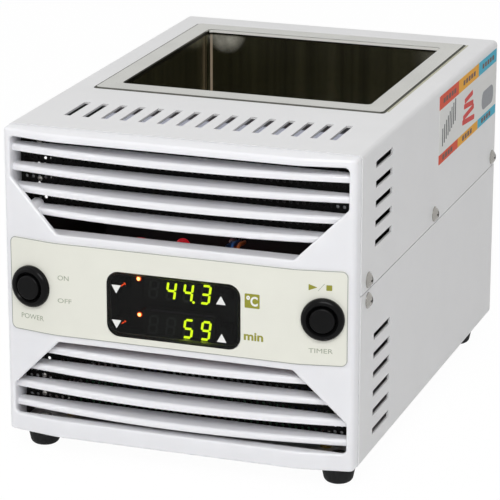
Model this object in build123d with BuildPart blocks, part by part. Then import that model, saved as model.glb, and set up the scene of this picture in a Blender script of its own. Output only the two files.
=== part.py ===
from build123d import *
import os
from math import cos, radians, sin, sqrt, tan

# All sizes are millimetres. X is across the front, Y runs from the front to the back, Z is up.
# The origin is on the bench, under the middle of the footprint.

# Sheet metal case
body_width = 184.6
body_depth = 254.0
body_height = 160.0
sheet = 1.2
bend_radius = 2.5
seam_height = 89.0
seam_gap = 0.5
fit_gap = 0.2
strip_rise = 12.0
strip_start = 21.0
flange_depth = 12.0

# Air slots in the case
slot_pitch = 10.0
slot_width = 3.5
slot_length = 28.0
slot_start = 22.3
top_slot_count = 15
upper_slot_count = 5
upper_slot_height = 109.5
lower_slot_count = 6
lower_slot_height = 11.2
rear_slot_count = 13
rear_slot_height = 136.0
floor_slot_count = 9

# Feet
foot_height = 11.3
foot_top_radius = 9.3
foot_base_radius = 5.4
foot_edge_radius = 3.2
foot_inset = 13.0
front_foot_y = 8.2
rear_foot_y = 230.0

# Moulded front bezel
bezel_inset = 0.5
bezel_depth = 13.2
facet_width = 28.3
facet_angle = 10.5
blend_radius = 45.0
corner_radius = 3.0
edge_radius = 1.4
side_wall = 3.7
front_wall = 2.5
bottom_wall = 2.5
top_rail = 4.0
sill = 9.2
tongue_gap = 0.4
tongue_depth = 5.0
tongue_wall = 2.3
shelf_wall = 2.0
shelf_depth = 9.7
sill_depth = 6.4
grille_edge = 1.0
lug_depth = 18.0
lug_thickness = 6.0
lug_height = 24.0
post_radius = 3.7
post_inset = 14.8
post_height = 118.5
post_end = 1.0

# Louvred grilles in the bezel
band_low = 52.0
band_high = 108.2
grille_chamfer = 26.3
grille_corner = 2.5
slat_count = 4
slat_pitch = 10.4
slat_drop = 8.2
slat_thickness = 3.4
slat_arc = 480.0
slat_setback = 0.3
slat_depth = 14.2
slat_nose = 1.5
slat_lip = 0.7

# Perforated guards behind the grilles
guard_sheet = 0.8
guard_gap = 0.3
guard_pitch = 8.0
guard_hole = 4.8
guard_border = 4.0
guard_screw_inset = 14.6
guard_screw_rise = 19.5
guard_raise = 3.3
guard_screw_radius = 0.8
guard_screw_length = 4.0
guard_head_radius = 1.3
guard_head_height = 0.7

# Control panel
label_thickness = 0.4
label_inset = 3.3
label_low = 55.6
label_high = 104.1
label_corner = 3.0
window_width = 70.0
window_height = 33.4
window_center = 75.9
window_corner = 6.5
window_sink = 1.0
window_gap = 0.2
window_border = 1.5
board_setback = 10.7
board_sheet = 1.6
display_board_width = 104.0
display_board_height = 40.0
boss_radius = 3.0
boss_x = 46.0
boss_rise = 15.0
row_offset = 9.0
digit_width = 38.0
digit_height = 12.0
digit_depth = 7.0
digit_x = 1.8
led_radius = 1.5
led_length = 8.0
led_x = -20.7
led_rise = 3.3
key_left_x = -28.9
key_right_x = 25.3
key_radius = 2.8
key_gap = 0.3
key_length = 5.0
key_stem_radius = 1.7
key_stem_length = 2.6
key_travel = 0.5
tact_size = 6.0
tact_height = 3.4

# Push switches on the angled ends of the panel
switch_inset = 15.8
switch_height = 79.5
switch_ring_radius = 10.8
switch_ring_base = 0.8
switch_ring_height = 3.2
switch_crown_radius = 8.7
switch_mouth_radius = 8.0
switch_mouth_depth = 1.6
switch_bore_radius = 6.6
switch_button_radius = 6.3
switch_button_proud = 0.6
switch_button_edge = 0.9
switch_travel = 2.5
switch_barrel_radius = 8.0
switch_barrel_length = 21.0
switch_hole_gap = 0.2
switch_nut_size = 19.0
switch_nut_height = 3.0
terminal_tab = 4.0

# Heated well
rim_side_border = 10.0
rim_end_border = 11.5
rim_rear_margin = 18.2
rim_gap = 0.9
rim_proud = 0.6
rim_sheet = 1.0
rim_lip = 2.6
rim_corner = 2.0
well_width = 136.0
well_length = 133.0
well_corner = 2.5
well_drop = 70.0
liner_gap = 0.2
liner_sheet = 1.0
casing_sheet = 1.0
casing_side_gap = 7.0
casing_end_gap = 11.0
plate_thickness = 10.0
plate_gap = 0.4
film_thickness = 2.0
film_margin = 4.0
floor_insulation_thickness = 10.0
insulation_gap = 0.3
cutout_radius = 8.0
cutout_height = 10.0
cutout_blade = 6.0
probe_radius = 2.5
probe_length = 46.0
probe_sink = 40.0
pillar_radius = 4.0
pillar_inset = 18.0

# Electronics on the chassis floor
standoff_height = 6.0
standoff_radius = 3.0
power_board_width = 148.0
power_board_depth = 56.0
power_board_start = 15.0
board_margin = 5.0
terminal_width = 62.0
terminal_depth = 11.0
terminal_height = 13.0
capacitor_radius = 6.5
capacitor_height = 22.0
transformer_width = 48.0
transformer_depth = 24.0
transformer_height = 40.0
transformer_coil_depth = 42.0
transformer_x = -32.0
transformer_y = 150.0
sink_length = 60.0
sink_height = 38.0
sink_base = 4.0
sink_fin = 16.0
sink_fin_sheet = 1.5
sink_fin_count = 7
sink_x = 22.0
sink_y = 150.0
relay_thickness = 20.0
relay_width = 43.0

# Mains inlet on the rear panel
inlet_x = 52.0
inlet_height = 36.0
inlet_flange_width = 50.0
inlet_flange_height = 38.0
inlet_flange = 3.0
inlet_body_width = 29.0
inlet_body_height = 34.0
inlet_body_depth = 25.0
inlet_mouth_width = 24.2
inlet_mouth_height = 16.4
inlet_mouth_depth = 17.0
inlet_mouth_rise = 6.0
inlet_mouth_chamfer = 4.0
inlet_screw_pitch = 40.0
pin_width = 4.0
pin_thickness = 2.0
pin_length = 14.0
pin_spacing = 7.0
drawer_width = 20.0
drawer_height = 8.0
drawer_depth = 18.0
drawer_drop = 10.5
drawer_gap = 0.25

# Fasteners
screw_radius = 1.8
screw_length = 6.0
screw_head_radius = 4.1
screw_head_height = 2.4
screw_hole_radius = 2.2
thread_gap = 0.05
small_screw_radius = 1.4
small_screw_length = 5.0
small_head_radius = 2.7
small_head_height = 1.8
nut_boss_radius = 3.6
nut_boss_height = 2.5
side_screw_rise = 5.2
front_screw_y = 11.6
middle_screw_y = 130.0
rear_screw_inset = 5.8

# Wiring inside the case
lead_radius = 1.2
lead_spacing = 5.2
thin_lead_radius = 0.8
thin_lead_spacing = 3.2
mains_lead_radius = 3.0
header_x = 26.0
header_width = 12.0
header_size = 6.0

# Places that follow from the sizes
half_width = body_width / 2
floor_z = foot_height
deck_z = floor_z + sheet
seam_z = floor_z + seam_height
top_z = floor_z + body_height
facet_start = half_width - facet_width
facet_slope = tan(radians(facet_angle))
facet_cos = cos(radians(facet_angle))
facet_sin = sin(radians(facet_angle))
bezel_half = half_width - bezel_inset
grille_half = bezel_half - side_wall
switch_x = half_width - switch_inset
foot_x = half_width - foot_inset
guard_screw_x = half_width - guard_screw_inset
post_x = half_width - post_inset
label_width = 2 * (half_width - bezel_inset - label_inset)
switch_setback = (switch_x - facet_start) * facet_slope
button_top = label_thickness + switch_ring_height + switch_button_proud
button_reach = (
    (button_top - switch_button_edge) * facet_cos
    + (switch_button_radius - switch_button_edge) * facet_sin
    + switch_button_edge
)
front_reach = bezel_depth - switch_setback + button_reach
footprint_depth = front_reach + body_depth + inlet_flange
joint_y = front_reach - footprint_depth / 2
rear_y = joint_y + body_depth
bezel_front = joint_y - bezel_depth
bezel_low = floor_z + bezel_inset
bezel_high = top_z - bezel_inset
upper_grille_low = floor_z + band_high
upper_grille_high = bezel_high - top_rail
lower_grille_low = bezel_low + sill
lower_grille_high = floor_z + band_low
slat_end = bezel_front + slat_setback + slat_depth
guard_y = joint_y + tongue_depth
board_y = bezel_front + board_setback
window_z = floor_z + window_center
window_back = bezel_front + window_sink
panel_back = bezel_front + front_wall
rim_width = well_width + 2 * rim_side_border
rim_length = well_length + 2 * rim_end_border
well_y = rear_y - rim_rear_margin - rim_length / 2
rim_low = top_z + rim_proud - rim_sheet
liner_width = well_width + 2 * (rim_sheet + liner_gap)
liner_length = well_length + 2 * (rim_sheet + liner_gap)
casing_width = well_width + 2 * casing_side_gap
casing_length = well_length + 2 * casing_end_gap
heater_width = liner_width - 2 * plate_gap
heater_length = liner_length - 2 * plate_gap
plate_top = top_z - well_drop
plate_low = plate_top - plate_thickness
film_low = plate_low - film_thickness
casing_low = film_low - floor_insulation_thickness - casing_sheet
pillar_x = casing_width / 2 - pillar_inset
pillar_y = casing_length / 2 - pillar_inset
power_board_z = deck_z + standoff_height
power_board_top = power_board_z + board_sheet
power_board_y = joint_y + power_board_start + power_board_depth / 2
inlet_z = floor_z + inlet_height
header_z = window_z + display_board_height / 2
screw_upper_z = seam_z + side_screw_rise
screw_lower_z = seam_z - side_screw_rise
strip_end = body_depth - flange_depth - 2


def facing_front(y):
    """Upright plane at y: its local axes are X and Z, and a negative extrusion goes to the back."""
    return Plane.XZ.offset(-y)


def facing_side(x):
    """Upright plane at x: its local axes are Y and Z, and extrusion goes towards +X."""
    return Plane.YZ.offset(x)


def facing_in(side, x):
    """Upright plane on one side of the middle, its normal towards the middle and its local Y up."""
    return Plane((side * x, 0, 0), x_dir=(0, -side, 0), z_dir=(-side, 0, 0))


def level(z):
    """Flat plane at height z."""
    return Plane.XY.offset(z)


def facet_plane(side, lift=0.0):
    """Plane on the angled end of the panel at a switch, its normal out of the panel."""
    normal = Vector(side * facet_sin, -facet_cos, 0)
    origin = Vector(side * switch_x, bezel_front + switch_setback, floor_z + switch_height)
    return Plane(origin + normal * lift, x_dir=(facet_cos, side * facet_sin, 0), z_dir=normal)


def facet_section(side, lift):
    """Level plane through a switch's middle: its local Y points out of the panel."""
    plane = facet_plane(side, lift)
    return Plane(plane.origin, x_dir=plane.x_dir, z_dir=(0, 0, -1))


def save(piece, label):
    """Names a finished piece and writes it under that name."""
    piece.label = label
    export_step(piece, f"parts/{label}.step")


# Case


def rounded_case(low, high, top_corners):
    """Rectangle across the case between two heights, rounded at its upper or lower corners."""
    with Locations((0, (low + high) / 2)):
        Rectangle(body_width, high - low)
    fillet(vertices().group_by(Axis.Y)[-1 if top_corners else 0], bend_radius)


def case_hollow(low, high, top_corners):
    """Inside of the sheet metal bend, as long as the case."""
    with Locations((0, (low + high) / 2)):
        Rectangle(body_width - 2 * sheet, high - low)
    fillet(vertices().group_by(Axis.Y)[-1 if top_corners else 0], bend_radius - sheet)


def side_slots(count, first_height):
    """Row of level air slots, cut through both sides of the case."""
    middle = first_height + (count - 1) * slot_pitch / 2
    with BuildSketch(facing_side(-body_width)) as slots:
        with Locations((joint_y + slot_start + slot_length / 2, floor_z + middle)):
            with GridLocations(slot_pitch, slot_pitch, 1, count):
                Rectangle(slot_length, slot_width)
    extrude(slots.sketch, amount=2 * body_width, mode=Mode.SUBTRACT)


def side_holes(places, radius):
    """Round holes through both sides of the case."""
    with BuildSketch(facing_side(-body_width)) as holes:
        with Locations(*places):
            Circle(radius)
    extrude(holes.sketch, amount=2 * body_width, mode=Mode.SUBTRACT)


def make_top_cover():
    """Folded lid and upper sides, with the well cut-out and the air slots."""
    low = seam_z + seam_gap / 2
    with BuildPart() as top_cover:
        with BuildSketch(facing_front(joint_y)):
            rounded_case(low, top_z, True)
        extrude(amount=-body_depth)
        with BuildSketch(facing_front(joint_y)):
            case_hollow(low, top_z - sheet, True)
        extrude(amount=-body_depth, mode=Mode.SUBTRACT)
        with BuildSketch(level(top_z)):
            with Locations((0, well_y)):
                Rectangle(rim_width + 2 * rim_gap, rim_length + 2 * rim_gap)
                fillet(vertices(), rim_corner)
        extrude(amount=-2 * sheet, mode=Mode.SUBTRACT)
        with BuildSketch(level(top_z)):
            with Locations((0, joint_y + slot_start + slot_length / 2)):
                with GridLocations(slot_pitch, slot_pitch, top_slot_count, 1):
                    Rectangle(slot_width, slot_length)
        extrude(amount=-2 * sheet, mode=Mode.SUBTRACT)
        side_slots(upper_slot_count, upper_slot_height)
        side_holes([(y, screw_upper_z) for y in cover_screw_rows()], screw_hole_radius)
    save(top_cover.part, "top_cover")


def cover_screw_rows():
    """Places along the case of the screws above the seam."""
    return [joint_y + front_screw_y, joint_y + middle_screw_y, rear_y - rear_screw_inset]


def side_strips():
    """Strips inside the chassis walls that stand up behind the cover's lower edges."""
    low = seam_z - strip_rise
    length = strip_end - strip_start
    with BuildSketch(facing_front(joint_y + strip_start)) as outline:
        for side in (-1, 1):
            with Locations((side * (half_width - 1.5 * sheet), seam_z)):
                Rectangle(sheet, 2 * (seam_z - low))
    extrude(outline.sketch, amount=-length)
    for side in (-1, 1):
        with BuildSketch(facing_in(side, half_width - 2 * sheet)) as outline:
            with Locations((-side * (joint_y + middle_screw_y), screw_upper_z)):
                Circle(nut_boss_radius)
        extrude(outline.sketch, amount=sheet)


def floor_boss_places():
    """Places of the pressed nuts under the feet's screws."""
    return [(x, joint_y + y) for y in (front_foot_y, rear_foot_y) for x in (-foot_x, foot_x)]


def pillar_places():
    """Places of the four posts that carry the well."""
    return [(x, well_y + y) for y in (-pillar_y, pillar_y) for x in (-pillar_x, pillar_x)]


def power_board_places():
    """Places of the power board's four screws."""
    x = power_board_width / 2 - board_margin
    y = power_board_depth / 2 - board_margin
    return [(sx * x, power_board_y + sy * y) for sy in (-1, 1) for sx in (-1, 1)]


def transformer_places():
    """Places of the two screws through the transformer's feet."""
    x = transformer_width / 2 + board_margin
    return [(transformer_x + side * x, joint_y + transformer_y) for side in (-1, 1)]


def make_base_chassis():
    """Folded tray with the lower sides, nut bosses, strips and floor slots."""
    high = seam_z - seam_gap / 2
    with BuildPart() as base_chassis:
        with BuildSketch(facing_front(joint_y)):
            rounded_case(floor_z, high, False)
        extrude(amount=-body_depth)
        with BuildSketch(facing_front(joint_y)):
            case_hollow(deck_z, high, False)
        extrude(amount=-body_depth, mode=Mode.SUBTRACT)
        side_strips()
        with BuildSketch(level(deck_z)):
            with Locations(*floor_boss_places()):
                Circle(nut_boss_radius)
        extrude(amount=nut_boss_height)
        side_slots(lower_slot_count, lower_slot_height)
        with BuildSketch(level(floor_z)):
            with Locations((0, power_board_y)):
                with GridLocations(slot_pitch, slot_pitch, floor_slot_count, 1):
                    Rectangle(slot_width, slot_length)
        extrude(amount=sheet, mode=Mode.SUBTRACT)
        with BuildSketch(level(floor_z)):
            with Locations(*floor_boss_places(), *pillar_places()):
                Circle(screw_radius + thread_gap)
            with Locations(*power_board_places(), *transformer_places(), *sink_places()):
                Circle(small_screw_radius + thread_gap)
            with Locations(*rear_floor_places()):
                Circle(screw_hole_radius)
        extrude(amount=2 * nut_boss_height, mode=Mode.SUBTRACT)
        side_holes([(joint_y + front_screw_y, screw_lower_z)], screw_hole_radius)
        side_holes([(joint_y + middle_screw_y, screw_upper_z)], screw_radius + thread_gap)
    save(base_chassis.part, "base_chassis")


def rear_floor_places():
    """Places of the screws that hold the rear panel to the floor."""
    return [(side * (half_width - foot_top_radius * 2), rear_y - rear_screw_inset) for side in (-1, 1)]


def make_rear_panel():
    """Shallow folded tray that closes the back, with air slots and the inlet's cut-out."""
    width = body_width - 2 * (sheet + fit_gap)
    low = deck_z + fit_gap
    high = top_z - sheet - fit_gap
    with BuildPart() as rear_panel:
        with BuildSketch(facing_front(rear_y)):
            with Locations((0, (low + high) / 2)):
                RectangleRounded(width, high - low, bend_radius)
        extrude(amount=flange_depth)
        with BuildSketch(facing_front(rear_y - sheet)):
            with Locations((0, (low + high) / 2)):
                RectangleRounded(width - 2 * sheet, high - low - 2 * sheet, bend_radius - sheet)
        extrude(amount=flange_depth - sheet, mode=Mode.SUBTRACT)
        for side in (-1, 1):
            with BuildSketch(facing_in(side, width / 2 - sheet)):
                with Locations((-side * (rear_y - rear_screw_inset), screw_upper_z)):
                    Circle(nut_boss_radius)
            extrude(amount=nut_boss_height)
        with BuildSketch(level(low + sheet)):
            with Locations(*rear_floor_places()):
                Circle(nut_boss_radius)
        extrude(amount=nut_boss_height)
        with BuildSketch(facing_front(rear_y)):
            with Locations((0, floor_z + rear_slot_height)):
                with GridLocations(slot_pitch, slot_pitch, rear_slot_count, 1):
                    Rectangle(slot_width, slot_length)
            with Locations((inlet_x, inlet_z)):
                Rectangle(inlet_body_width + 2 * fit_gap, inlet_body_height + 2 * fit_gap)
            with Locations(*inlet_screw_places()):
                Circle(small_screw_radius + thread_gap)
        extrude(amount=sheet, mode=Mode.SUBTRACT)
        side_holes([(rear_y - rear_screw_inset, screw_upper_z)], screw_radius + thread_gap)
        with BuildSketch(level(low)):
            with Locations(*rear_floor_places()):
                Circle(screw_radius + thread_gap)
        extrude(amount=2 * nut_boss_height, mode=Mode.SUBTRACT)
    save(rear_panel.part, "rear_panel")


# Front bezel


def bezel_plan(half, front, back, outer_radius, kink_radius):
    """Plan of the bezel: a flat middle and two ends that turn back."""
    end = front + (half - facet_start) * facet_slope
    with BuildLine() as outline:
        Polyline(
            (-half, back), (-half, end), (-facet_start, front),
            (facet_start, front), (half, end), (half, back),
            close=True,
        )
    make_face(outline.edges())
    fillet(vertices().filter_by_position(Axis.Y, front - 0.01, front + 0.01), kink_radius)
    for side in (-half, half):
        corners = vertices().filter_by_position(Axis.X, side - 0.01, side + 0.01)
        fillet(corners.sort_by(Axis.Y)[0], outer_radius)


def grille_outline(low, high, chamfer_low, grow=0.0):
    """Grille opening: the two corners next to the control band are cut at 45 degrees."""
    half = grille_half
    cut = grille_chamfer
    near, far = (low, high) if chamfer_low else (high, low)
    turn = cut if chamfer_low else -cut
    points = [(-half, far), (half, far), (half, near + turn)]
    points += [(half - cut, near), (cut - half, near), (-half, near + turn)]
    with BuildLine() as outline:
        Polyline(*points, close=True)
    make_face(outline.edges())
    fillet(vertices(), grille_corner)
    if grow:
        offset(amount=grow, kind=Kind.INTERSECTION)


def grilles():
    """Heights of the two grilles, and whether their lower corners are the cut ones."""
    return [(upper_grille_low, upper_grille_high, True), (lower_grille_low, lower_grille_high, False)]


def add_shelf(low, depth):
    """Level wall from the front to a given depth, as wide as the bezel."""
    half = grille_half + 1
    front = bezel_front + 1
    end = front + (half - facet_start) * facet_slope
    back = bezel_front + depth
    with BuildSketch(level(low)) as outline:
        with BuildLine() as edge:
            Polyline(
                (-half, back), (-half, end), (-facet_start, front),
                (facet_start, front), (half, end), (half, back),
                close=True,
            )
        make_face(edge.edges())
    extrude(outline.sketch, amount=shelf_wall)


def grille_face(low, high, chamfer_low, grow=0.0):
    """Grille opening as a face of its own, drawn flat."""
    with BuildSketch(Plane.XY) as outline:
        grille_outline(low, high, chamfer_low, grow)
    return outline.sketch


def build_louvres():
    """Slats of both grilles: bowed front edge, straight back edge, rounded nose."""
    reach = grille_half + side_wall / 2
    front = bezel_front + slat_setback
    bow = slat_arc - sqrt(slat_arc**2 - reach**2)
    with BuildPart() as louvres:
        for low, high, chamfer_low in grilles():
            for number in range(slat_count):
                base = high - slat_drop - number * slat_pitch
                with BuildSketch(level(base)):
                    with BuildLine():
                        ThreePointArc((-reach, front + bow), (0, front), (reach, front + bow))
                        Polyline(
                            (reach, front + bow), (reach, slat_end),
                            (-reach, slat_end), (-reach, front + bow),
                        )
                    make_face()
                extrude(amount=slat_thickness)
        noses = louvres.edges().filter_by(GeomType.CIRCLE).group_by(Axis.Z)
        fillet(ShapeList([edge for group in noses[1::2] for edge in group]), slat_nose)
        lips = louvres.edges().filter_by(GeomType.CIRCLE).filter_by(lambda edge: edge.radius > slat_arc / 2)
        lips = lips.group_by(Axis.Z)
        fillet(ShapeList([edge for group in lips[0::2] for edge in group]), slat_lip)
    return louvres.part


def boss_places():
    """Places of the four bosses behind the control band."""
    return [(x, window_z + z) for z in (-boss_rise, boss_rise) for x in (-boss_x, boss_x)]


def guard_screw_places():
    """Places of the screws that hold the guards, down their left edges."""
    upper = [upper_grille_high - 5, upper_grille_high - 5 - guard_screw_rise]
    lower = [lower_grille_low + 7, lower_grille_low + 7 + guard_screw_rise / 2]
    return [(-guard_screw_x, z) for z in upper + lower]


def make_front_bezel():
    """Hollow moulding with the angled control band, two louvred grilles and its fixings."""
    louvres = build_louvres()
    with BuildPart() as front_bezel:
        with BuildSketch(level(bezel_low)):
            bezel_plan(bezel_half, bezel_front, joint_y, corner_radius, blend_radius)
        extrude(amount=bezel_high - bezel_low)
        rims = front_bezel.edges().group_by(Axis.Z)
        for group in (rims[0], rims[-1]):
            fillet(ShapeList([edge for edge in group if edge.center().Y < joint_y - 0.1]), edge_radius)
        with BuildSketch(level(bezel_low + bottom_wall)):
            bezel_plan(grille_half, bezel_front + front_wall, joint_y, edge_radius, blend_radius)
        extrude(amount=upper_grille_high - bezel_low - bottom_wall, mode=Mode.SUBTRACT)
        bezel_tongue()
        add_shelf(upper_grille_low - shelf_wall, shelf_depth)
        add_shelf(lower_grille_high, shelf_depth)
        add_shelf(lower_grille_low - shelf_wall, sill_depth)
        with BuildSketch(facing_front(bezel_front - 1)):
            for low, high, chamfer_low in grilles():
                add(grille_face(low, high, chamfer_low))
        extrude(amount=-(shelf_depth + 1.5), mode=Mode.SUBTRACT)
        fillet(grille_edges(front_bezel), grille_edge)
        add(louvres)
        bezel_fixings()
        bezel_panel_holes()
    save(front_bezel.part, "front_bezel")


def grille_edges(bezel):
    """Front edges of both grille openings."""
    edges = []
    for edge in bezel.edges():
        middle = edge @ 0.5
        front = bezel_front + max(0, abs(middle.X) - facet_start) * facet_slope
        inside = any(low - 0.1 < middle.Z < high + 0.1 for low, high, _ in grilles())
        if inside and abs(middle.X) < grille_half + 0.1 and middle.Y < front + 0.7:
            edges.append(edge)
    return ShapeList(edges)


def bezel_tongue():
    """Rim at the back of the bezel that slides inside the case, with its two screw lugs."""
    inner = half_width - sheet - tongue_gap
    low = deck_z + tongue_gap
    high = top_z - sheet - tongue_gap
    start = joint_y - tongue_wall
    depth = tongue_depth + tongue_wall
    with BuildSketch(facing_front(start)) as outline:
        with Locations((0, (low + high) / 2)):
            Rectangle(2 * inner, high - low)
        with Locations((0, (low + tongue_wall + upper_grille_high) / 2)):
            Rectangle(2 * grille_half, upper_grille_high - low - tongue_wall, mode=Mode.SUBTRACT)
    extrude(outline.sketch, amount=-depth)
    with BuildSketch(facing_front(start)) as outline:
        for side in (-1, 1):
            with Locations((side * (inner - lug_thickness / 2), seam_z)):
                Rectangle(lug_thickness, lug_height)
    extrude(outline.sketch, amount=-(lug_depth + tongue_wall))
    places = [(joint_y + front_screw_y, z) for z in (screw_upper_z, screw_lower_z)]
    side_holes(places, screw_radius + thread_gap)


def bezel_fixings():
    """Bosses for the display board, the light shield round the display, and the corner posts."""
    depth = board_y - panel_back
    with BuildSketch(facing_front(panel_back)) as outline:
        with Locations(*boss_places()):
            Circle(boss_radius)
    extrude(outline.sketch, amount=-depth)
    with BuildSketch(facing_front(board_y)) as outline:
        with Locations(*boss_places()):
            Circle(small_screw_radius + thread_gap)
    extrude(outline.sketch, amount=small_screw_length, mode=Mode.SUBTRACT)
    inner_width = window_width - 2 * window_border
    inner_height = window_height - 2 * window_border
    with BuildSketch(facing_front(panel_back)) as outline:
        with Locations((0, window_z)):
            RectangleRounded(window_width, window_height, window_corner)
            RectangleRounded(inner_width, inner_height, window_corner - window_border, mode=Mode.SUBTRACT)
    extrude(outline.sketch, amount=-depth)
    post_start = panel_back + (post_x - facet_start) * facet_slope - 0.8
    with BuildSketch(facing_front(post_start)) as outline:
        with Locations((-post_x, floor_z + post_height), (post_x, floor_z + post_height)):
            Circle(post_radius)
    extrude(outline.sketch, amount=-(joint_y + post_end - post_start))
    guard_bosses()


def guard_bosses():
    """Blocks on the tongue that carry the guards."""
    inner = half_width - sheet - tongue_gap
    reach = inner - guard_screw_x + guard_head_radius + 1
    height = 2 * guard_head_radius + 1
    with BuildSketch(facing_front(guard_y + guard_sheet + guard_gap)) as outline:
        for x, z in guard_screw_places():
            for side in (-1, 1):
                with Locations((side * (inner - reach / 2), z)):
                    Rectangle(reach, height)
    extrude(outline.sketch, amount=-guard_screw_length)
    with BuildSketch(facing_front(joint_y)) as outline:
        for x, z in guard_screw_places():
            for side in (-1, 1):
                with Locations((side * (inner - tongue_wall / 2), z)):
                    Rectangle(tongue_wall, height)
    extrude(outline.sketch, amount=-(guard_y + guard_sheet + guard_gap + guard_screw_length - joint_y))
    with BuildSketch(facing_front(guard_y + guard_sheet)) as outline:
        with Locations(*guard_screw_places()):
            Circle(guard_screw_radius + thread_gap)
    extrude(outline.sketch, amount=-(guard_screw_length + 1), mode=Mode.SUBTRACT)


def bezel_panel_holes():
    """Recess and opening of the display window, and the two switch holes."""
    with BuildSketch(facing_front(bezel_front)) as hole:
        with Locations((0, window_z)):
            RectangleRounded(window_width + 2 * window_gap, window_height + 2 * window_gap, window_corner)
    extrude(hole.sketch, amount=-window_sink, mode=Mode.SUBTRACT)
    with BuildSketch(facing_front(bezel_front)) as hole:
        with Locations((0, window_z)):
            RectangleRounded(
                window_width - 2 * window_border, window_height - 2 * window_border,
                window_corner - window_border,
            )
    extrude(hole.sketch, amount=-front_wall, mode=Mode.SUBTRACT)
    for side in (-1, 1):
        with BuildSketch(facet_plane(side, 1)) as hole:
            Circle(switch_barrel_radius + switch_hole_gap)
        extrude(hole.sketch, amount=-(front_wall + 3), mode=Mode.SUBTRACT)


def make_control_label():
    """Thin printed sheet that follows the bent front of the control band."""
    middle = floor_z + (label_low + label_high) / 2
    with BuildPart() as control_label:
        with BuildSketch(level(floor_z + label_low)):
            label_plan(bezel_front - label_thickness)
        extrude(amount=label_high - label_low)
        with BuildSketch(level(floor_z + label_low)):
            label_plan(bezel_front)
        extrude(amount=label_high - label_low, mode=Mode.SUBTRACT)
        with BuildSketch(facing_front(bezel_front - 2)):
            with Locations((0, middle)):
                RectangleRounded(label_width, label_high - label_low, label_corner)
            with Locations((0, window_z)):
                RectangleRounded(
                    window_width + 2 * window_gap, window_height + 2 * window_gap,
                    window_corner, mode=Mode.SUBTRACT,
                )
        extrude(amount=-bezel_depth, mode=Mode.INTERSECT)
        for side in (-1, 1):
            with BuildSketch(facet_plane(side, 2)):
                Circle(switch_barrel_radius + switch_hole_gap)
            extrude(amount=-4, mode=Mode.SUBTRACT)
    save(control_label.part, "control_label")


def label_plan(front):
    """Plan of the control band in front of the joint, with its front face at the given depth."""
    end = front + (bezel_half - facet_start) * facet_slope
    with BuildLine() as outline:
        Polyline(
            (-bezel_half, joint_y), (-bezel_half, end), (-facet_start, front),
            (facet_start, front), (bezel_half, end), (bezel_half, joint_y),
            close=True,
        )
    make_face(outline.edges())
    fillet(vertices().filter_by_position(Axis.Y, front - 0.01, front + 0.01), blend_radius)


def make_display_window():
    """Smoked pane, seated in the bezel and level with the label."""
    with BuildPart() as display_window:
        with BuildSketch(facing_front(bezel_front - label_thickness)):
            with Locations((0, window_z)):
                RectangleRounded(window_width, window_height, window_corner)
        extrude(amount=-(window_sink + label_thickness))
    save(display_window.part, "display_window")


def make_guard(label, low, high):
    """Perforated sheet behind one grille."""
    bottom = low + guard_gap
    top = high - guard_gap
    width = 2 * (grille_half - guard_gap)
    columns = int((width - 2 * guard_border) // guard_pitch)
    rows = int((top - bottom - 2 * guard_border) // guard_pitch)
    with BuildPart() as guard:
        with BuildSketch(facing_front(guard_y)):
            with Locations((0, (bottom + top) / 2)):
                Rectangle(width, top - bottom)
                with GridLocations(guard_pitch, guard_pitch, columns, rows):
                    Rectangle(guard_hole, guard_hole, mode=Mode.SUBTRACT)
            with Locations(*guard_screw_places()):
                Circle(guard_screw_radius + thread_gap, mode=Mode.SUBTRACT)
        extrude(amount=-guard_sheet)
    save(guard.part, label)


# Push switches


def make_switch(name, side):
    """Body, button and nut of one push switch."""
    seat = label_thickness
    with BuildPart() as body:
        with BuildSketch(facet_section(side, seat)):
            with BuildLine() as outline:
                Polyline((0, 0), (switch_ring_radius, 0), (switch_ring_radius, switch_ring_base))
                TangentArc(
                    (switch_ring_radius, switch_ring_base), (switch_crown_radius, switch_ring_height),
                    tangent=(0, 1),
                )
                Polyline(
                    (switch_crown_radius, switch_ring_height), (switch_mouth_radius, switch_ring_height),
                    (switch_bore_radius, switch_mouth_depth), (0, switch_mouth_depth), (0, 0),
                )
            make_face(outline.edges())
        revolve(axis=Axis(facet_plane(side).origin, facet_plane(side).z_dir))
        with BuildSketch(facet_plane(side, seat)):
            Circle(switch_barrel_radius)
        extrude(amount=-switch_barrel_length)
        with BuildSketch(facet_plane(side, seat + switch_mouth_depth)):
            Circle(switch_bore_radius)
        extrude(amount=-(switch_barrel_length + switch_mouth_depth - 3), mode=Mode.SUBTRACT)
        with BuildSketch(facet_plane(side, seat - switch_barrel_length)):
            with GridLocations(lead_spacing, 1, 2, 1):
                Rectangle(0.8, 3)
        extrude(amount=-terminal_tab)
    save(body.part, f"{name}_switch_body")
    length = switch_ring_height + switch_button_proud + switch_barrel_length - 3 - switch_travel - 2
    with BuildPart() as button:
        with BuildSketch(facet_plane(side, seat + switch_ring_height + switch_button_proud)):
            Circle(switch_button_radius)
        extrude(amount=-length)
        front = button.faces().sort_by(Axis.Y)[0]
        fillet(front.edges(), switch_button_edge)
    save(button.part, f"{name}_switch_button")
    with BuildPart() as nut:
        with BuildSketch(facet_plane(side, -front_wall)):
            RegularPolygon(switch_nut_size / 2, 6, major_radius=False, rotation=30)
            Circle(switch_barrel_radius + thread_gap, mode=Mode.SUBTRACT)
        extrude(amount=-switch_nut_height)
    save(nut.part, f"{name}_switch_nut")


# Display


def make_display_board():
    """Circuit board behind the window, with the header for the sensor's leads."""
    with BuildPart() as display_board:
        with BuildSketch(facing_front(board_y)):
            with Locations((0, window_z)):
                Rectangle(display_board_width, display_board_height)
            with Locations(*boss_places()):
                Circle(small_screw_radius + thread_gap, mode=Mode.SUBTRACT)
        extrude(amount=-board_sheet)
        with BuildSketch(facing_front(board_y + board_sheet)):
            with Locations((header_x, header_z - header_size / 2)):
                Rectangle(header_width, header_size)
        extrude(amount=-header_size)
    save(display_board.part, "display_board")


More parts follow.
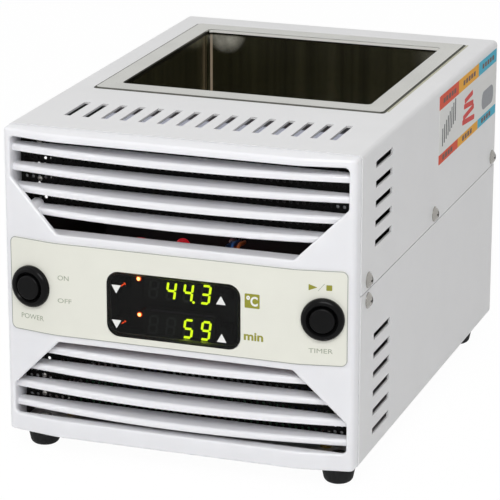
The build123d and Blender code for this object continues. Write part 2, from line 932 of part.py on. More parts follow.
def make_digit_module(label, row):
    """Four-digit display block, with the dark face towards the window."""
    with BuildPart() as module:
        with BuildSketch(facing_front(board_y - digit_depth)):
            with Locations((digit_x, window_z + row)):
                Rectangle(digit_width, digit_height)
        extrude(amount=-digit_depth)
        edges = module.faces().sort_by(Axis.Y)[0].edges()
        chamfer(edges, 0.3)
    save(module.part, label)


def make_indicator_leds():
    """Two round indicator lamps beside the digits."""
    with BuildPart() as indicator_leds:
        for row in (-row_offset, row_offset):
            with BuildSketch(facing_front(board_y)):
                with Locations((led_x, window_z + row + led_rise)):
                    Circle(led_radius)
            extrude(amount=led_length)
        tips = indicator_leds.faces().group_by(Axis.Y)[0]
        fillet(ShapeList([edge for face in tips for edge in face.edges()]), led_radius * 0.9)
    save(indicator_leds.part, "indicator_leds")


def key_places():
    """Names and places of the four setting keys."""
    return {
        "temperature_down_key": (key_left_x, window_z + row_offset),
        "temperature_up_key": (key_right_x, window_z + row_offset),
        "time_down_key": (key_left_x, window_z - row_offset),
        "time_up_key": (key_right_x, window_z - row_offset),
    }


def make_keys():
    """Key plungers behind the window, and the small switches that they press."""
    tact_front = board_y - tact_height
    key_front = window_back + key_gap
    for label, place in key_places().items():
        with BuildPart() as key:
            with BuildSketch(facing_front(key_front)):
                with Locations(place):
                    Circle(key_radius)
            extrude(amount=-key_length)
            with BuildSketch(facing_front(key_front + key_length)):
                with Locations(place):
                    Circle(key_stem_radius)
            reach = key_stem_length - key_travel - key_gap
            extrude(amount=-(tact_front - key_front - key_length + reach))
        save(key.part, label)
    with BuildPart() as key_switches:
        with BuildSketch(facing_front(tact_front)):
            with Locations(*key_places().values()):
                Rectangle(tact_size - 0.4, tact_size - 0.4)
                Circle(key_stem_radius + fit_gap, mode=Mode.SUBTRACT)
        extrude(amount=-key_stem_length)
        with BuildSketch(facing_front(tact_front + key_stem_length)):
            with Locations(*key_places().values()):
                Rectangle(tact_size - 0.4, tact_size - 0.4)
        extrude(amount=-(tact_height - key_stem_length))
    save(key_switches.part, "key_switches")


# Heated well


def make_well_rim():
    """Flat stainless frame round the well, with a short lip turned down inside."""
    with BuildPart() as well_rim:
        with BuildSketch(level(rim_low)):
            with Locations((0, well_y)):
                RectangleRounded(rim_width, rim_length, rim_corner)
        extrude(amount=rim_sheet)
        with BuildSketch(level(rim_low + rim_sheet - rim_lip)):
            with Locations((0, well_y)):
                RectangleRounded(
                    well_width + 2 * rim_sheet, well_length + 2 * rim_sheet,
                    well_corner + rim_sheet,
                )
        extrude(amount=rim_lip)
        with BuildSketch(level(rim_low + rim_sheet)):
            with Locations((0, well_y)):
                RectangleRounded(well_width, well_length, well_corner)
        extrude(amount=-rim_lip, mode=Mode.SUBTRACT)
    save(well_rim.part, "well_rim")


def probe_hole(radius, start, depth):
    """Hole along Y for the temperature probe, from a given place towards the back."""
    with BuildSketch(facing_front(start)) as hole:
        with Locations((0, plate_low + plate_thickness / 2)):
            Circle(radius)
    extrude(hole.sketch, amount=-depth, mode=Mode.SUBTRACT)


def make_well_liner():
    """Four thin walls of the well, standing on the floor insulation under the rim."""
    with BuildPart() as well_liner:
        with BuildSketch(level(film_low)):
            with Locations((0, well_y)):
                RectangleRounded(
                    liner_width + 2 * liner_sheet, liner_length + 2 * liner_sheet,
                    well_corner + 2 * liner_sheet,
                )
                RectangleRounded(liner_width, liner_length, well_corner + liner_sheet, mode=Mode.SUBTRACT)
        extrude(amount=rim_low - film_low)
        probe_hole(probe_radius + fit_gap, well_y - casing_length / 2, casing_length / 2)
    save(well_liner.part, "well_liner")


def make_well_casing():
    """Outer tin box of the well, open at the top, which the rim covers."""
    with BuildPart() as well_casing:
        with BuildSketch(level(casing_low)):
            with Locations((0, well_y)):
                RectangleRounded(casing_width, casing_length, rim_corner)
        extrude(amount=rim_low - casing_low)
        with BuildSketch(level(casing_low + casing_sheet)):
            with Locations((0, well_y)):
                RectangleRounded(
                    casing_width - 2 * casing_sheet, casing_length - 2 * casing_sheet,
                    rim_corner - casing_sheet,
                )
        extrude(amount=rim_low - casing_low, mode=Mode.SUBTRACT)
        with BuildSketch(level(casing_low)):
            with Locations((0, well_y)):
                Circle(cutout_blade + fit_gap)
        extrude(amount=casing_sheet, mode=Mode.SUBTRACT)
        probe_hole(probe_radius + fit_gap, well_y - casing_length / 2 - 1, casing_length / 2)
    save(well_casing.part, "well_casing")


def make_insulation():
    """Slab under the heater, and the band between the liner and the casing."""
    inner_width = casing_width - 2 * (casing_sheet + insulation_gap)
    inner_length = casing_length - 2 * (casing_sheet + insulation_gap)
    with BuildPart() as floor_insulation:
        with BuildSketch(level(casing_low + casing_sheet)):
            with Locations((0, well_y)):
                Rectangle(inner_width, inner_length)
                Circle(cutout_radius + insulation_gap, mode=Mode.SUBTRACT)
        extrude(amount=floor_insulation_thickness)
    save(floor_insulation.part, "floor_insulation")
    gap = 2 * (liner_sheet + insulation_gap)
    with BuildPart() as well_insulation:
        with BuildSketch(level(film_low)):
            with Locations((0, well_y)):
                Rectangle(inner_width, inner_length)
                RectangleRounded(
                    liner_width + gap, liner_length + gap, well_corner + gap / 2,
                    mode=Mode.SUBTRACT,
                )
        extrude(amount=rim_low - film_low - insulation_gap)
        probe_hole(probe_radius + fit_gap, well_y - casing_length / 2, casing_length / 2 - 1)
    save(well_insulation.part, "well_insulation")


def make_heater():
    """Aluminium plate that the tube blocks stand on, the film heater under it, and the cut-out."""
    width = heater_width
    length = heater_length
    with BuildPart() as heater_plate:
        with BuildSketch(level(plate_low)):
            with Locations((0, well_y)):
                RectangleRounded(width, length, well_corner)
        extrude(amount=plate_thickness)
        probe_hole(probe_radius + thread_gap, well_y - length / 2, probe_sink)
    save(heater_plate.part, "heater_plate")
    with BuildPart() as film_heater:
        with BuildSketch(level(film_low)):
            with Locations((0, well_y)):
                RectangleRounded(width - 2 * film_margin, length - 2 * film_margin, well_corner)
                Circle(cutout_radius + insulation_gap, mode=Mode.SUBTRACT)
        extrude(amount=film_thickness)
    save(film_heater.part, "film_heater")
    with BuildPart() as thermal_cutout:
        with BuildSketch(level(plate_low)):
            with Locations((0, well_y)):
                Circle(cutout_radius)
        extrude(amount=-cutout_height)
        with BuildSketch(level(plate_low - cutout_height)):
            with Locations((0, well_y)):
                with GridLocations(cutout_blade, 1, 2, 1):
                    Rectangle(0.8, cutout_blade)
        extrude(amount=-2 * cutout_blade)
    save(thermal_cutout.part, "thermal_cutout")
    with BuildPart() as temperature_sensor:
        with BuildSketch(facing_front(well_y - length / 2 + probe_sink)):
            with Locations((0, plate_low + plate_thickness / 2)):
                Circle(probe_radius)
        extrude(amount=probe_length + (casing_length - length) / 2)
    save(temperature_sensor.part, "temperature_sensor")


def make_well_posts():
    """Four pillars between the chassis floor and the well casing."""
    with BuildPart() as well_posts:
        with BuildSketch(level(deck_z)):
            with Locations(*pillar_places()):
                Circle(pillar_radius)
        extrude(amount=casing_low - deck_z)
        with BuildSketch(level(deck_z)):
            with Locations(*pillar_places()):
                Circle(screw_radius + thread_gap)
        extrude(amount=screw_length + 2, mode=Mode.SUBTRACT)
    save(well_posts.part, "well_posts")


# Electronics


def make_power_board():
    """Circuit board on the chassis floor, its standoffs and its terminal strip."""
    with BuildPart() as power_board:
        with BuildSketch(level(power_board_z)):
            with Locations((0, power_board_y)):
                Rectangle(power_board_width, power_board_depth)
            with Locations(*power_board_places()):
                Circle(small_screw_radius + thread_gap, mode=Mode.SUBTRACT)
        extrude(amount=board_sheet)
    save(power_board.part, "power_board")
    with BuildPart() as board_standoffs:
        with BuildSketch(level(deck_z)):
            with Locations(*power_board_places()):
                Circle(standoff_radius)
                Circle(small_screw_radius + thread_gap, mode=Mode.SUBTRACT)
        extrude(amount=standoff_height)
    save(board_standoffs.part, "board_standoffs")
    with BuildPart() as terminal_block:
        with BuildSketch(level(power_board_top)):
            with Locations((0, terminal_y())):
                Rectangle(terminal_width, terminal_depth)
        extrude(amount=terminal_height)
        with BuildSketch(level(power_board_top + terminal_height)):
            with Locations((0, terminal_y())):
                with GridLocations(terminal_pitch(), 1, 6, 1):
                    Rectangle(terminal_pitch() * 0.7, terminal_depth * 0.6)
        extrude(amount=-terminal_height * 0.5, mode=Mode.SUBTRACT)
    save(terminal_block.part, "terminal_block")
    with BuildPart() as filter_capacitors:
        with BuildSketch(level(power_board_top)):
            with Locations(*capacitor_places()):
                Circle(capacitor_radius)
        extrude(amount=capacitor_height)
        tops = filter_capacitors.faces().group_by(Axis.Z)[-1]
        chamfer(ShapeList([edge for face in tops for edge in face.edges()]), 0.8)
    save(filter_capacitors.part, "filter_capacitors")


def capacitor_places():
    """Places of the three filter capacitors, in front of the terminal strip."""
    return [(share * power_board_width, power_board_y - board_margin) for share in (-0.3, -0.19, 0.35)]


def terminal_y():
    """Middle of the terminal strip, at the back of the power board."""
    return power_board_y + power_board_depth / 2 - terminal_depth / 2 - 1


def terminal_pitch():
    """Distance between two terminals."""
    return terminal_width / 6


def make_transformer():
    """Laminated core with its feet, and the coil round its middle."""
    middle = joint_y + transformer_y
    leg = transformer_width / 6
    with BuildPart() as transformer_core:
        with BuildSketch(facing_front(middle - transformer_depth / 2)):
            with Locations((transformer_x, deck_z + transformer_height / 2)):
                Rectangle(transformer_width, transformer_height)
                with GridLocations(2 * leg + leg, 1, 2, 1):
                    Rectangle(2 * leg - leg / 2, transformer_height - 2 * leg, mode=Mode.SUBTRACT)
        extrude(amount=-transformer_depth)
        with BuildSketch(level(deck_z)):
            with Locations((transformer_x, middle)):
                Rectangle(transformer_width + 4 * board_margin, transformer_depth / 2)
            with Locations(*transformer_places()):
                Circle(small_screw_radius + thread_gap, mode=Mode.SUBTRACT)
        extrude(amount=sheet)
    save(transformer_core.part, "transformer_core")
    window = 2 * leg - leg / 2
    inside = 3 * leg - window
    with BuildPart() as transformer_coil:
        with BuildSketch(level(deck_z + leg + fit_gap)):
            with Locations((transformer_x, middle)):
                Rectangle(inside + 2 * window - 2 * fit_gap, transformer_coil_depth)
                Rectangle(inside, transformer_depth, mode=Mode.SUBTRACT)
        extrude(amount=transformer_height - 2 * (leg + fit_gap))
    save(transformer_coil.part, "transformer_coil")


def sink_places():
    """Places of the two screws under the heat sink."""
    return [(sink_x, joint_y + sink_y + y) for y in (-sink_length / 3, sink_length / 3)]


def make_relay():
    """Finned heat sink that stands on the floor, and the solid state relay on its flat side."""
    middle = joint_y + sink_y
    with BuildPart() as relay_heat_sink:
        with BuildSketch(level(deck_z)):
            with Locations((sink_x, middle)):
                Rectangle(sink_base, sink_length)
            with Locations((sink_x + sink_base / 2 + sink_fin / 2, middle)):
                spacing = (sink_length - sink_fin_sheet) / (sink_fin_count - 1)
                with GridLocations(1, spacing, 1, sink_fin_count):
                    Rectangle(sink_fin, sink_fin_sheet)
        extrude(amount=sink_height)
        with BuildSketch(level(deck_z)):
            with Locations(*sink_places()):
                Circle(small_screw_radius + thread_gap)
        extrude(amount=small_screw_length, mode=Mode.SUBTRACT)
    save(relay_heat_sink.part, "relay_heat_sink")
    with BuildPart() as switching_relay:
        with BuildSketch(level(deck_z + 2)):
            with Locations((sink_x - sink_base / 2 - relay_thickness / 2, middle)):
                Rectangle(relay_thickness, relay_width)
        extrude(amount=sink_height - 4)
        far = switching_relay.faces().sort_by(Axis.X)[0]
        chamfer(far.edges(), 1.5)
    save(switching_relay.part, "switching_relay")


# Mains inlet


def inlet_screw_places():
    """Places of the two screws beside the inlet."""
    return [(inlet_x + side * inlet_screw_pitch / 2, inlet_z) for side in (-1, 1)]


def make_inlet():
    """Appliance inlet with its three pins and the fuse drawer below them."""
    back = rear_y + inlet_flange
    mouth_z = inlet_z + inlet_mouth_rise
    drawer_z = inlet_z - drawer_drop
    with BuildPart() as power_inlet:
        with BuildSketch(facing_front(rear_y)):
            with Locations((inlet_x, inlet_z)):
                RectangleRounded(inlet_flange_width, inlet_flange_height, bend_radius)
        extrude(amount=-inlet_flange)
        with BuildSketch(facing_front(rear_y)):
            with Locations((inlet_x, inlet_z)):
                Rectangle(inlet_body_width, inlet_body_height)
        extrude(amount=inlet_body_depth)
        with BuildSketch(facing_front(back)):
            with Locations((inlet_x, mouth_z)):
                Rectangle(inlet_mouth_width, inlet_mouth_height)
                chamfer(vertices().group_by(Axis.Y)[-1], inlet_mouth_chamfer)
        extrude(amount=inlet_mouth_depth, mode=Mode.SUBTRACT)
        with BuildSketch(facing_front(back)):
            with Locations((inlet_x, drawer_z)):
                Rectangle(drawer_width + 2 * drawer_gap, drawer_height + 2 * drawer_gap)
            with Locations(*inlet_screw_places()):
                Circle(small_screw_radius + thread_gap)
        extrude(amount=drawer_depth + drawer_gap, mode=Mode.SUBTRACT)
        with BuildSketch(facing_front(back)):
            with Locations(*inlet_screw_places()):
                Circle(small_head_radius + fit_gap)
        extrude(amount=small_head_height, mode=Mode.SUBTRACT)
    save(power_inlet.part, "power_inlet")
    with BuildPart() as inlet_pins:
        with BuildSketch(facing_front(back - inlet_mouth_depth)):
            with Locations(*[(inlet_x + side * pin_spacing, mouth_z - 2) for side in (-1, 1)]):
                Rectangle(pin_thickness, pin_width)
            with Locations((inlet_x, mouth_z + 2)):
                Rectangle(pin_thickness, pin_width)
        extrude(amount=-pin_length)
    save(inlet_pins.part, "inlet_pins")
    with BuildPart() as fuse_drawer:
        with BuildSketch(facing_front(back)):
            with Locations((inlet_x, drawer_z)):
                Rectangle(drawer_width, drawer_height)
        extrude(amount=drawer_depth)
        with BuildSketch(facing_front(back)):
            with Locations((inlet_x, drawer_z + drawer_height / 2 - 1)):
                Rectangle(drawer_width / 3, 2)
        extrude(amount=1.5, mode=Mode.SUBTRACT)
    save(fuse_drawer.part, "fuse_drawer")


# Feet and fasteners


def make_feet():
    """Four tapered rubber feet, each hollow in the middle for its screw."""
    rows = (("front", front_foot_y), ("rear", rear_foot_y))
    for row, y in rows:
        for hand, side in (("left", -1), ("right", 1)):
            with BuildPart() as foot:
                with BuildSketch(level(floor_z)):
                    with Locations((side * foot_x, joint_y + y)):
                        Circle(foot_top_radius)
                with BuildSketch(level(0)):
                    with Locations((side * foot_x, joint_y + y)):
                        Circle(foot_base_radius + foot_edge_radius / 2)
                loft()
                fillet(foot.faces().sort_by(Axis.Z)[0].edges(), foot_edge_radius)
                with BuildSketch(level(0)):
                    with Locations((side * foot_x, joint_y + y)):
                        Circle(small_head_radius + fit_gap)
                extrude(amount=foot_height / 2, mode=Mode.SUBTRACT)
                with BuildSketch(level(0)):
                    with Locations((side * foot_x, joint_y + y)):
                        Circle(screw_radius + thread_gap)
                extrude(amount=foot_height, mode=Mode.SUBTRACT)
            save(foot.part, f"foot_{row}_{hand}")


def build_screw(radius, length, head_radius, head_height, domed):
    """One screw, its head above the local plane and its shank below."""
    with BuildPart() as screw:
        with BuildSketch(Plane.XZ):
            with BuildLine():
                if domed:
                    TangentArc((0, head_height), (head_radius, 0.3), tangent=(1, 0))
                    Polyline((head_radius, 0.3), (head_radius, 0), (radius, 0))
                else:
                    Polyline((0, head_height), (head_radius, head_height), (head_radius, 0), (radius, 0))
                Polyline((radius, 0), (radius, -length), (0, -length), (0, head_height))
            make_face()
        revolve(axis=Axis.Z)
        with BuildSketch(level(head_height)):
            Rectangle(head_radius * 0.9, head_radius * 0.22)
            Rectangle(head_radius * 0.22, head_radius * 0.9)
        extrude(amount=-head_height * 0.6, mode=Mode.SUBTRACT)
    return screw.part


def make_fasteners():
    """The screws of the case, the small ones inside and on the inlet, and those of the feet and guards."""
    side_screw = build_screw(screw_radius, screw_length, screw_head_radius, screw_head_height, True)
    small_screw = build_screw(
        small_screw_radius, small_screw_length, small_head_radius, small_head_height, True
    )
    foot_length = foot_height / 2 + sheet + nut_boss_height
    foot_screw = build_screw(screw_radius, foot_length, small_head_radius, small_head_height, False)
    guard_screw = build_screw(
        guard_screw_radius, guard_screw_length, guard_head_radius, guard_head_height, True
    )
    case_places = side_screw_planes([(y, screw_upper_z) for y in cover_screw_rows()])
    case_places += side_screw_planes([(joint_y + front_screw_y, screw_lower_z)])
    case_places += floor_screw_planes(rear_floor_places() + pillar_places(), floor_z)
    small_places = [Plane((x, y, power_board_top)) for x, y in power_board_places()]
    small_places += [Plane((x, y, deck_z + sheet)) for x, y in transformer_places()]
    small_places += floor_screw_planes(sink_places(), floor_z)
    small_places += rear_screw_planes(boss_places(), board_y + board_sheet)
    small_places += rear_screw_planes(inlet_screw_places(), rear_y + inlet_flange - small_head_height)
    foot_places = floor_screw_planes(floor_boss_places(), foot_height / 2)
    groups = {
        "case_screws": (side_screw, case_places),
        "small_screws": (small_screw, small_places),
        "foot_screws": (foot_screw, foot_places),
        "guard_screws": (guard_screw, front_screw_planes(guard_screw_places(), guard_y)),
    }
    for label, (form, planes) in groups.items():
        with BuildPart() as group:
            with Locations(*planes):
                add(form)
        save(group.part, label)


def side_screw_planes(places):
    """Planes on both sides of the case, their normals outwards."""
    planes = []
    for side in (-1, 1):
        for y, z in places:
            planes.append(Plane((side * half_width, y, z), x_dir=(0, side, 0), z_dir=(side, 0, 0)))
    return planes


def floor_screw_planes(places, z):
    """Planes that face down at a height."""
    return [Plane((x, y, z), x_dir=(1, 0, 0), z_dir=(0, 0, -1)) for x, y in places]


def front_screw_planes(places, y):
    """Planes that face the front at a depth."""
    return [Plane((x, y, z), x_dir=(1, 0, 0), z_dir=(0, -1, 0)) for x, z in places]


def rear_screw_planes(places, y):
    """Planes that face the back at a depth."""
    return [Plane((x, y, z), x_dir=(-1, 0, 0), z_dir=(0, 1, 0)) for x, z in places]


# Wiring


def lead_path(points):
    """Path of straight runs joined by arcs as large as the runs allow."""
    corners = [Vector(*point) for point in points]
    radii = []
    for before, here, after in zip(corners, corners[1:], corners[2:]):
        turn = (here - before).get_angle(after - here)
        run = min((here - before).length, (after - here).length)
        radii.append(0.45 * run / tan(radians(turn / 2)))
    return FilletPolyline(*points, radius=radii)


def make_lead(label, radius, routes):
    """One or more insulated wires along their routes."""
    with BuildPart() as lead:
        for points in routes:
            with BuildLine() as path:
                lead_path(points)
            with BuildSketch(Plane(path.line @ 0, z_dir=path.line % 0)):
                Circle(radius)
            sweep(path=path.line)
    save(lead.part, label)


def switch_ends(side):
    """Ends of the two terminals of a push switch, and points straight behind them."""
    behind = label_thickness - switch_barrel_length - terminal_tab
    ends = []
    for shift in (-lead_spacing / 2, lead_spacing / 2):
        start = facet_plane(side, behind).from_local_coords(Vector(shift, 0, 0))
        after = facet_plane(side, behind - 8).from_local_coords(Vector(shift, 0, 0))
        ends.append((tuple(start), tuple(after)))
    return ends


def make_switch_leads():
    """Leads of the power switch to the terminal strip, and of the timer switch to the display board."""
    block_z = power_board_top + terminal_height
    outer, inner = switch_ends(-1)
    first_x = -1.5 * terminal_pitch()
    second_x = -0.5 * terminal_pitch()
    ledge_z = upper_grille_low
    make_lead("power_leads", lead_radius, [
        [
            *outer,
            (-62, joint_y + 28, ledge_z - 14),
            (-38, joint_y + 16, ledge_z - 12),
            (-25, joint_y + 10.5, ledge_z - 3.6),
            (-18, joint_y + 19, ledge_z - 15),
            (first_x, joint_y + 44, ledge_z - 30),
            (first_x, terminal_y(), block_z + 24),
            (first_x, terminal_y(), block_z - terminal_height / 2),
        ],
        [
            *inner,
            (-56, joint_y + 22, ledge_z - 24),
            (-26, joint_y + 16, ledge_z - 16),
            (-8, joint_y + 11, ledge_z - 9),
            (-3, joint_y + 8, ledge_z - 0.6),
            (1, joint_y + 15, ledge_z - 12),
            (second_x + 3, joint_y + 36, ledge_z - 34),
            (second_x, terminal_y(), block_z + 22),
            (second_x, terminal_y(), block_z - terminal_height / 2),
        ],
    ])
    board_back = board_y + board_sheet
    routes = []
    for (start, after), rise in zip(switch_ends(1), (4, -4)):
        end_z = floor_z + switch_height + rise
        routes.append([
            start,
            after,
            (60, joint_y + 22 - rise, end_z),
            (44 + rise, joint_y + 14, end_z),
            (44 + rise, board_back, end_z),
        ])
    make_lead("timer_leads", lead_radius, routes)


def make_sensor_leads():
    """Blue and orange leads between the temperature probe and the display board."""
    probe_y = well_y - casing_length / 2 + probe_sink - probe_length
    probe_z = plate_low + plate_thickness / 2
    header_y = board_y + board_sheet + header_size / 2
    for label, side in (("sensor_lead_blue", -0.5), ("sensor_lead_orange", 0.5)):
        x = header_x + side * thin_lead_spacing
        end_x = side * 2.2 * thin_lead_radius
        make_lead(label, thin_lead_radius, [[
            (x, header_y, header_z),
            (x, header_y, header_z + 7),
            (x, header_y + 3, upper_grille_low - 0.6),
            (x, header_y + 12, upper_grille_low - 2),
            (x - 8, header_y + 34, header_z + 2),
            (end_x, probe_y - 10, probe_z),
            (end_x, probe_y, probe_z),
        ]])


def make_power_leads():
    """Leads of the thermal cut-out to the relay, and the mains lead from the inlet."""
    blade_z = plate_low - cutout_height - 2 * cutout_blade
    relay_x = sink_x - sink_base / 2 - relay_thickness / 2
    relay_z = deck_z + sink_height - 2
    routes = []
    for side in (-1, 1):
        x = side * cutout_blade / 2
        routes.append([
            (x, well_y, blade_z),
            (x, well_y, blade_z - 8),
            (relay_x + 2 * x, joint_y + sink_y + 4, relay_z + 6),
            (relay_x + 2 * x, joint_y + sink_y + 4, relay_z),
        ])
    make_lead("heater_leads", lead_radius, routes)
    inlet_inner = rear_y - inlet_body_depth
    end_x = terminal_width / 2 - 4
    make_lead("mains_lead", mains_lead_radius, [[
        (inlet_x - 5, inlet_inner, inlet_z),
        (inlet_x - 5, inlet_inner - 12, inlet_z),
        (inlet_x - 6, inlet_inner - 45, deck_z + 7),
        (inlet_x - 5.6, inlet_inner - 90, deck_z + 6),
        (inlet_x - 6, terminal_y() + 34, deck_z + 12),
        (end_x, terminal_y() + 18, power_board_top + 5),
        (end_x, terminal_y() + terminal_depth / 2, power_board_top + 5),
    ]])


def main():
    """Builds every sub-part."""
    os.makedirs("parts", exist_ok=True)
    make_top_cover()
    make_base_chassis()
    make_rear_panel()
    make_front_bezel()
    make_control_label()
    make_display_window()
    make_guard("upper_guard", upper_grille_low + guard_raise, upper_grille_high)
    make_guard("lower_guard", lower_grille_low, lower_grille_high)
    make_switch("power", -1)
    make_switch("timer", 1)
    make_display_board()
    make_digit_module("digit_module_upper", row_offset)
    make_digit_module("digit_module_lower", -row_offset)
    make_indicator_leds()
    make_keys()
    make_well_rim()
    make_well_liner()
    make_well_casing()
    make_insulation()
    make_heater()
    make_well_posts()
    make_power_board()
    make_transformer()
    make_relay()
    make_inlet()
    make_feet()
    make_fasteners()
    make_switch_leads()
    make_sensor_leads()
    make_power_leads()


main()
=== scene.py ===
import math

import bmesh
import bpy
from bpy.props import FloatProperty, FloatVectorProperty, PointerProperty
from bpy.types import Operator, Panel, PropertyGroup
from mathutils import Matrix, Vector


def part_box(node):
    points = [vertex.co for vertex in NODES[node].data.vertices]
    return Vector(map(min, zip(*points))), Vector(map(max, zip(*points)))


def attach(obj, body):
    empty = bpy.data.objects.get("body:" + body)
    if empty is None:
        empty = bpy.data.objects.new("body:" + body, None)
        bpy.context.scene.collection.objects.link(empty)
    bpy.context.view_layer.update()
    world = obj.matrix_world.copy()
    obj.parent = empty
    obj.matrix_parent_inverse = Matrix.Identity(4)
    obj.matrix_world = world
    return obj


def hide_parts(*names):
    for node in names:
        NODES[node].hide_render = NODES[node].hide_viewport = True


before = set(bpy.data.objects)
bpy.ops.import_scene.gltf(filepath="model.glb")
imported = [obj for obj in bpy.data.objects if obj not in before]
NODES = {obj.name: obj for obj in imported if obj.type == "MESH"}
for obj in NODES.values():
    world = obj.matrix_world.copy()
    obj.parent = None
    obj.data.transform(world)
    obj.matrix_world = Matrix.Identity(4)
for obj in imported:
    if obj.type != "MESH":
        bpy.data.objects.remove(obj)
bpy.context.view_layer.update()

bl_info = {
    "name": "Dry bath incubator",
    "version": (1, 0, 0),
    "blender": (4, 5, 0),
    "location": "3D View > Sidebar > Dry bath",
    "description": "Finishes and dresses the dry bath incubator around its packed CAD model",
    "category": "Object",
}


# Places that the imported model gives

LABEL_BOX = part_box("control_label")
WINDOW_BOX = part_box("display_window")
RIM_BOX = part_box("well_rim")
COVER_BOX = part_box("top_cover")
BODY = "instrument"
FOOT = 0.0113  # height of the feet under the case
INK = 0.00008  # thickness of a printed mark


# Settings


def colour(name, text, default):
    """Colour setting."""
    return FloatVectorProperty(
        name=name, description=text, subtype="COLOR", size=3, min=0, max=1, default=default
    )


def length(name, text, default, low, high):
    """Length setting in metres, with its limits."""
    return FloatProperty(
        name=name, description=text, unit="LENGTH", default=default, min=low, max=high
    )


def angle(name, text, degrees, high):
    """Angle setting, its default in degrees."""
    return FloatProperty(
        name=name, description=text, subtype="ANGLE", default=math.radians(degrees), min=0, max=high
    )


class CaseSettings(PropertyGroup):
    """Colours and finish of the painted case."""

    paint: colour("Case paint", "Colour of the powder-coated sheet metal", (0.76, 0.76, 0.765))
    moulding: colour("Bezel plastic", "Colour of the moulded front", (0.87, 0.87, 0.90))
    gasket: length("Gasket width", "Width of the dark bead round the rim", 0.0012, 0.0001, 0.003)
    rubber: colour("Foot rubber", "Colour of the feet", (0.018, 0.018, 0.019))


class PanelSettings(PropertyGroup):
    """Colours and sizes of the control band."""

    film: colour("Label film", "Ground colour of the printed film", (0.80, 0.80, 0.72))
    olive: colour("Olive ink", "Colour of the unit marks", (0.30, 0.30, 0.04))
    grey: colour("Grey ink", "Colour of the switch lettering", (0.36, 0.39, 0.30))
    lit: colour("Lit segment", "Colour of the lit display segments", (0.74, 1.0, 0.012))
    facet_start: length(
        "Facet start", "Distance from the middle at which the panel turns back", 0.064, 0.01, 0.1
    )
    blend_radius: length("Blend radius", "Radius of the soft bend at the facets", 0.045, 0.001, 0.1)
    facet_angle: angle("Facet angle", "How far the ends of the panel turn back", 10.5, 1)
    digit_height: length("Digit height", "Height of one display digit", 0.0102, 0.004, 0.02)
    digit_width: length(
        "Digit width", "Distance between the upright segments of a digit", 0.0041, 0.002, 0.01
    )
    digit_slant: angle("Digit slant", "How far the digits lean", 8, 0.5)
    segment_width: length("Segment width", "Width of one display segment", 0.00115, 0.0005, 0.003)


class GuardSettings(PropertyGroup):
    """Perforation of the guards behind the grilles."""

    hole: length("Hole radius", "Radius of one round hole", 0.00095, 0.0005, 0.003)
    pitch: length("Hole pitch", "Distance between two neighbouring holes", 0.0034, 0.002, 0.01)


# Tables of what is printed, lit and painted

LEAST_CORNER = 0.12  # corner of a small plate, as a share of its width
BAR_GAP = 0.0007  # how much shorter a display bar is than the distance it spans
WORDS = {
    "word_on": ("ON", (-0.0613, 0.0850 + FOOT), (-0.0554, 0.0875 + FOOT)),
    "word_off": ("OFF", (-0.0615, 0.0732 + FOOT), (-0.0540, 0.0755 + FOOT)),
    "word_power": ("POWER", (-0.0828, 0.0620 + FOOT), (-0.0698, 0.0646 + FOOT)),
    "word_timer": ("TIMER", (0.0698, 0.0620 + FOOT), (0.0815, 0.0643 + FOOT)),
}
MINUTES = ("min", (0.0369, 0.0651 + FOOT), (0.0469, 0.0693 + FOOT), 0.03)
DEGREES = ("\u00b0C", (0.0382, 0.0829 + FOOT), (0.0441, 0.0881 + FOOT), 0.035)
DEGREES_PATCH = ((0.0373, 0.0818 + FOOT), (0.0450, 0.0891 + FOOT))
ARROWS = {
    "arrow_temperature_down": (-0.0300, 0.0837, False),
    "arrow_time_down": (-0.0300, 0.0655, False),
    "arrow_temperature_up": (0.0250, 0.0840, True),
    "arrow_time_up": (0.0254, 0.0646, True),
}
ARROW_SIZE = (0.0050, 0.0044)
SEGMENTS = {"": "", "3": "abcdg", "4": "bcfg", "5": "acdfg", "9": "abcdfg"}
DIGITS = {
    "digit_blank": ("", -0.0115, 0.0847),
    "digit_minutes_blank": ("", -0.0119, 0.0660),
    "digit_minutes_hundreds": ("", -0.0027, 0.0660),
    "digit_tens": ("4", -0.00235, 0.0847),
    "digit_units": ("4", 0.0066, 0.0847),
    "digit_tenths": ("3", 0.01575, 0.0847),
    "digit_minutes_tens": ("5", 0.0065, 0.0660),
    "digit_minutes": ("9", 0.0157, 0.0660),
}
LAMPS = ((-0.0193, 0.0893), (-0.0190, 0.0707))
# Painted reflections of the lamps on the key stems: x, z, length and turn in degrees of each small
# glowing plate.
GLINTS = (
    (-0.0272, 0.0857, 0.0022, 40), (-0.0259, 0.0866, 0.0013, -50),
    (-0.0271, 0.0661, 0.0016, 35), (-0.0259, 0.0670, 0.0010, -50),
)
STICKER_PLACE = ((0.1357, 0.119 + FOOT), (0.2525, 0.156 + FOOT))
STICKER_COLUMNS = (
    (0.0, (0.72, 0.10, 0.05)), (0.32, (0.86, 0.42, 0.05)), (0.67, (0.08, 0.46, 0.62)),
)
STICKER_ROWS = ((0.0, (1, 1, 1)), (0.14, (0, 0, 0)), (0.80, (1, 1, 1)))
INNER_PLASTICS = {
    "display_board": ("dark_resist", (0.016, 0.018, 0.016)),
    "terminal_block": ("terminal_polyamide", (0.22, 0.25, 0.26)),
    "filter_capacitors": ("capacitor_sleeve", (0.015, 0.02, 0.06), 0.28),
    "transformer_coil": ("coil_tape", (0.62, 0.44, 0.06), 0.3),
    "film_heater": ("heater_film", (0.42, 0.14, 0.02), 0.35),
    "sensor_lead_blue": ("lead_blue", (0.03, 0.12, 0.38), 0.35, 500),
    "sensor_lead_orange": ("lead_orange", (0.62, 0.14, 0.02), 0.35, 500),
    "heater_leads": ("lead_sleeve", (0.65, 0.62, 0.52), 0.35, 500),
    "mains_lead": ("lead_grey", (0.06, 0.06, 0.065), 0.35, 500),
}
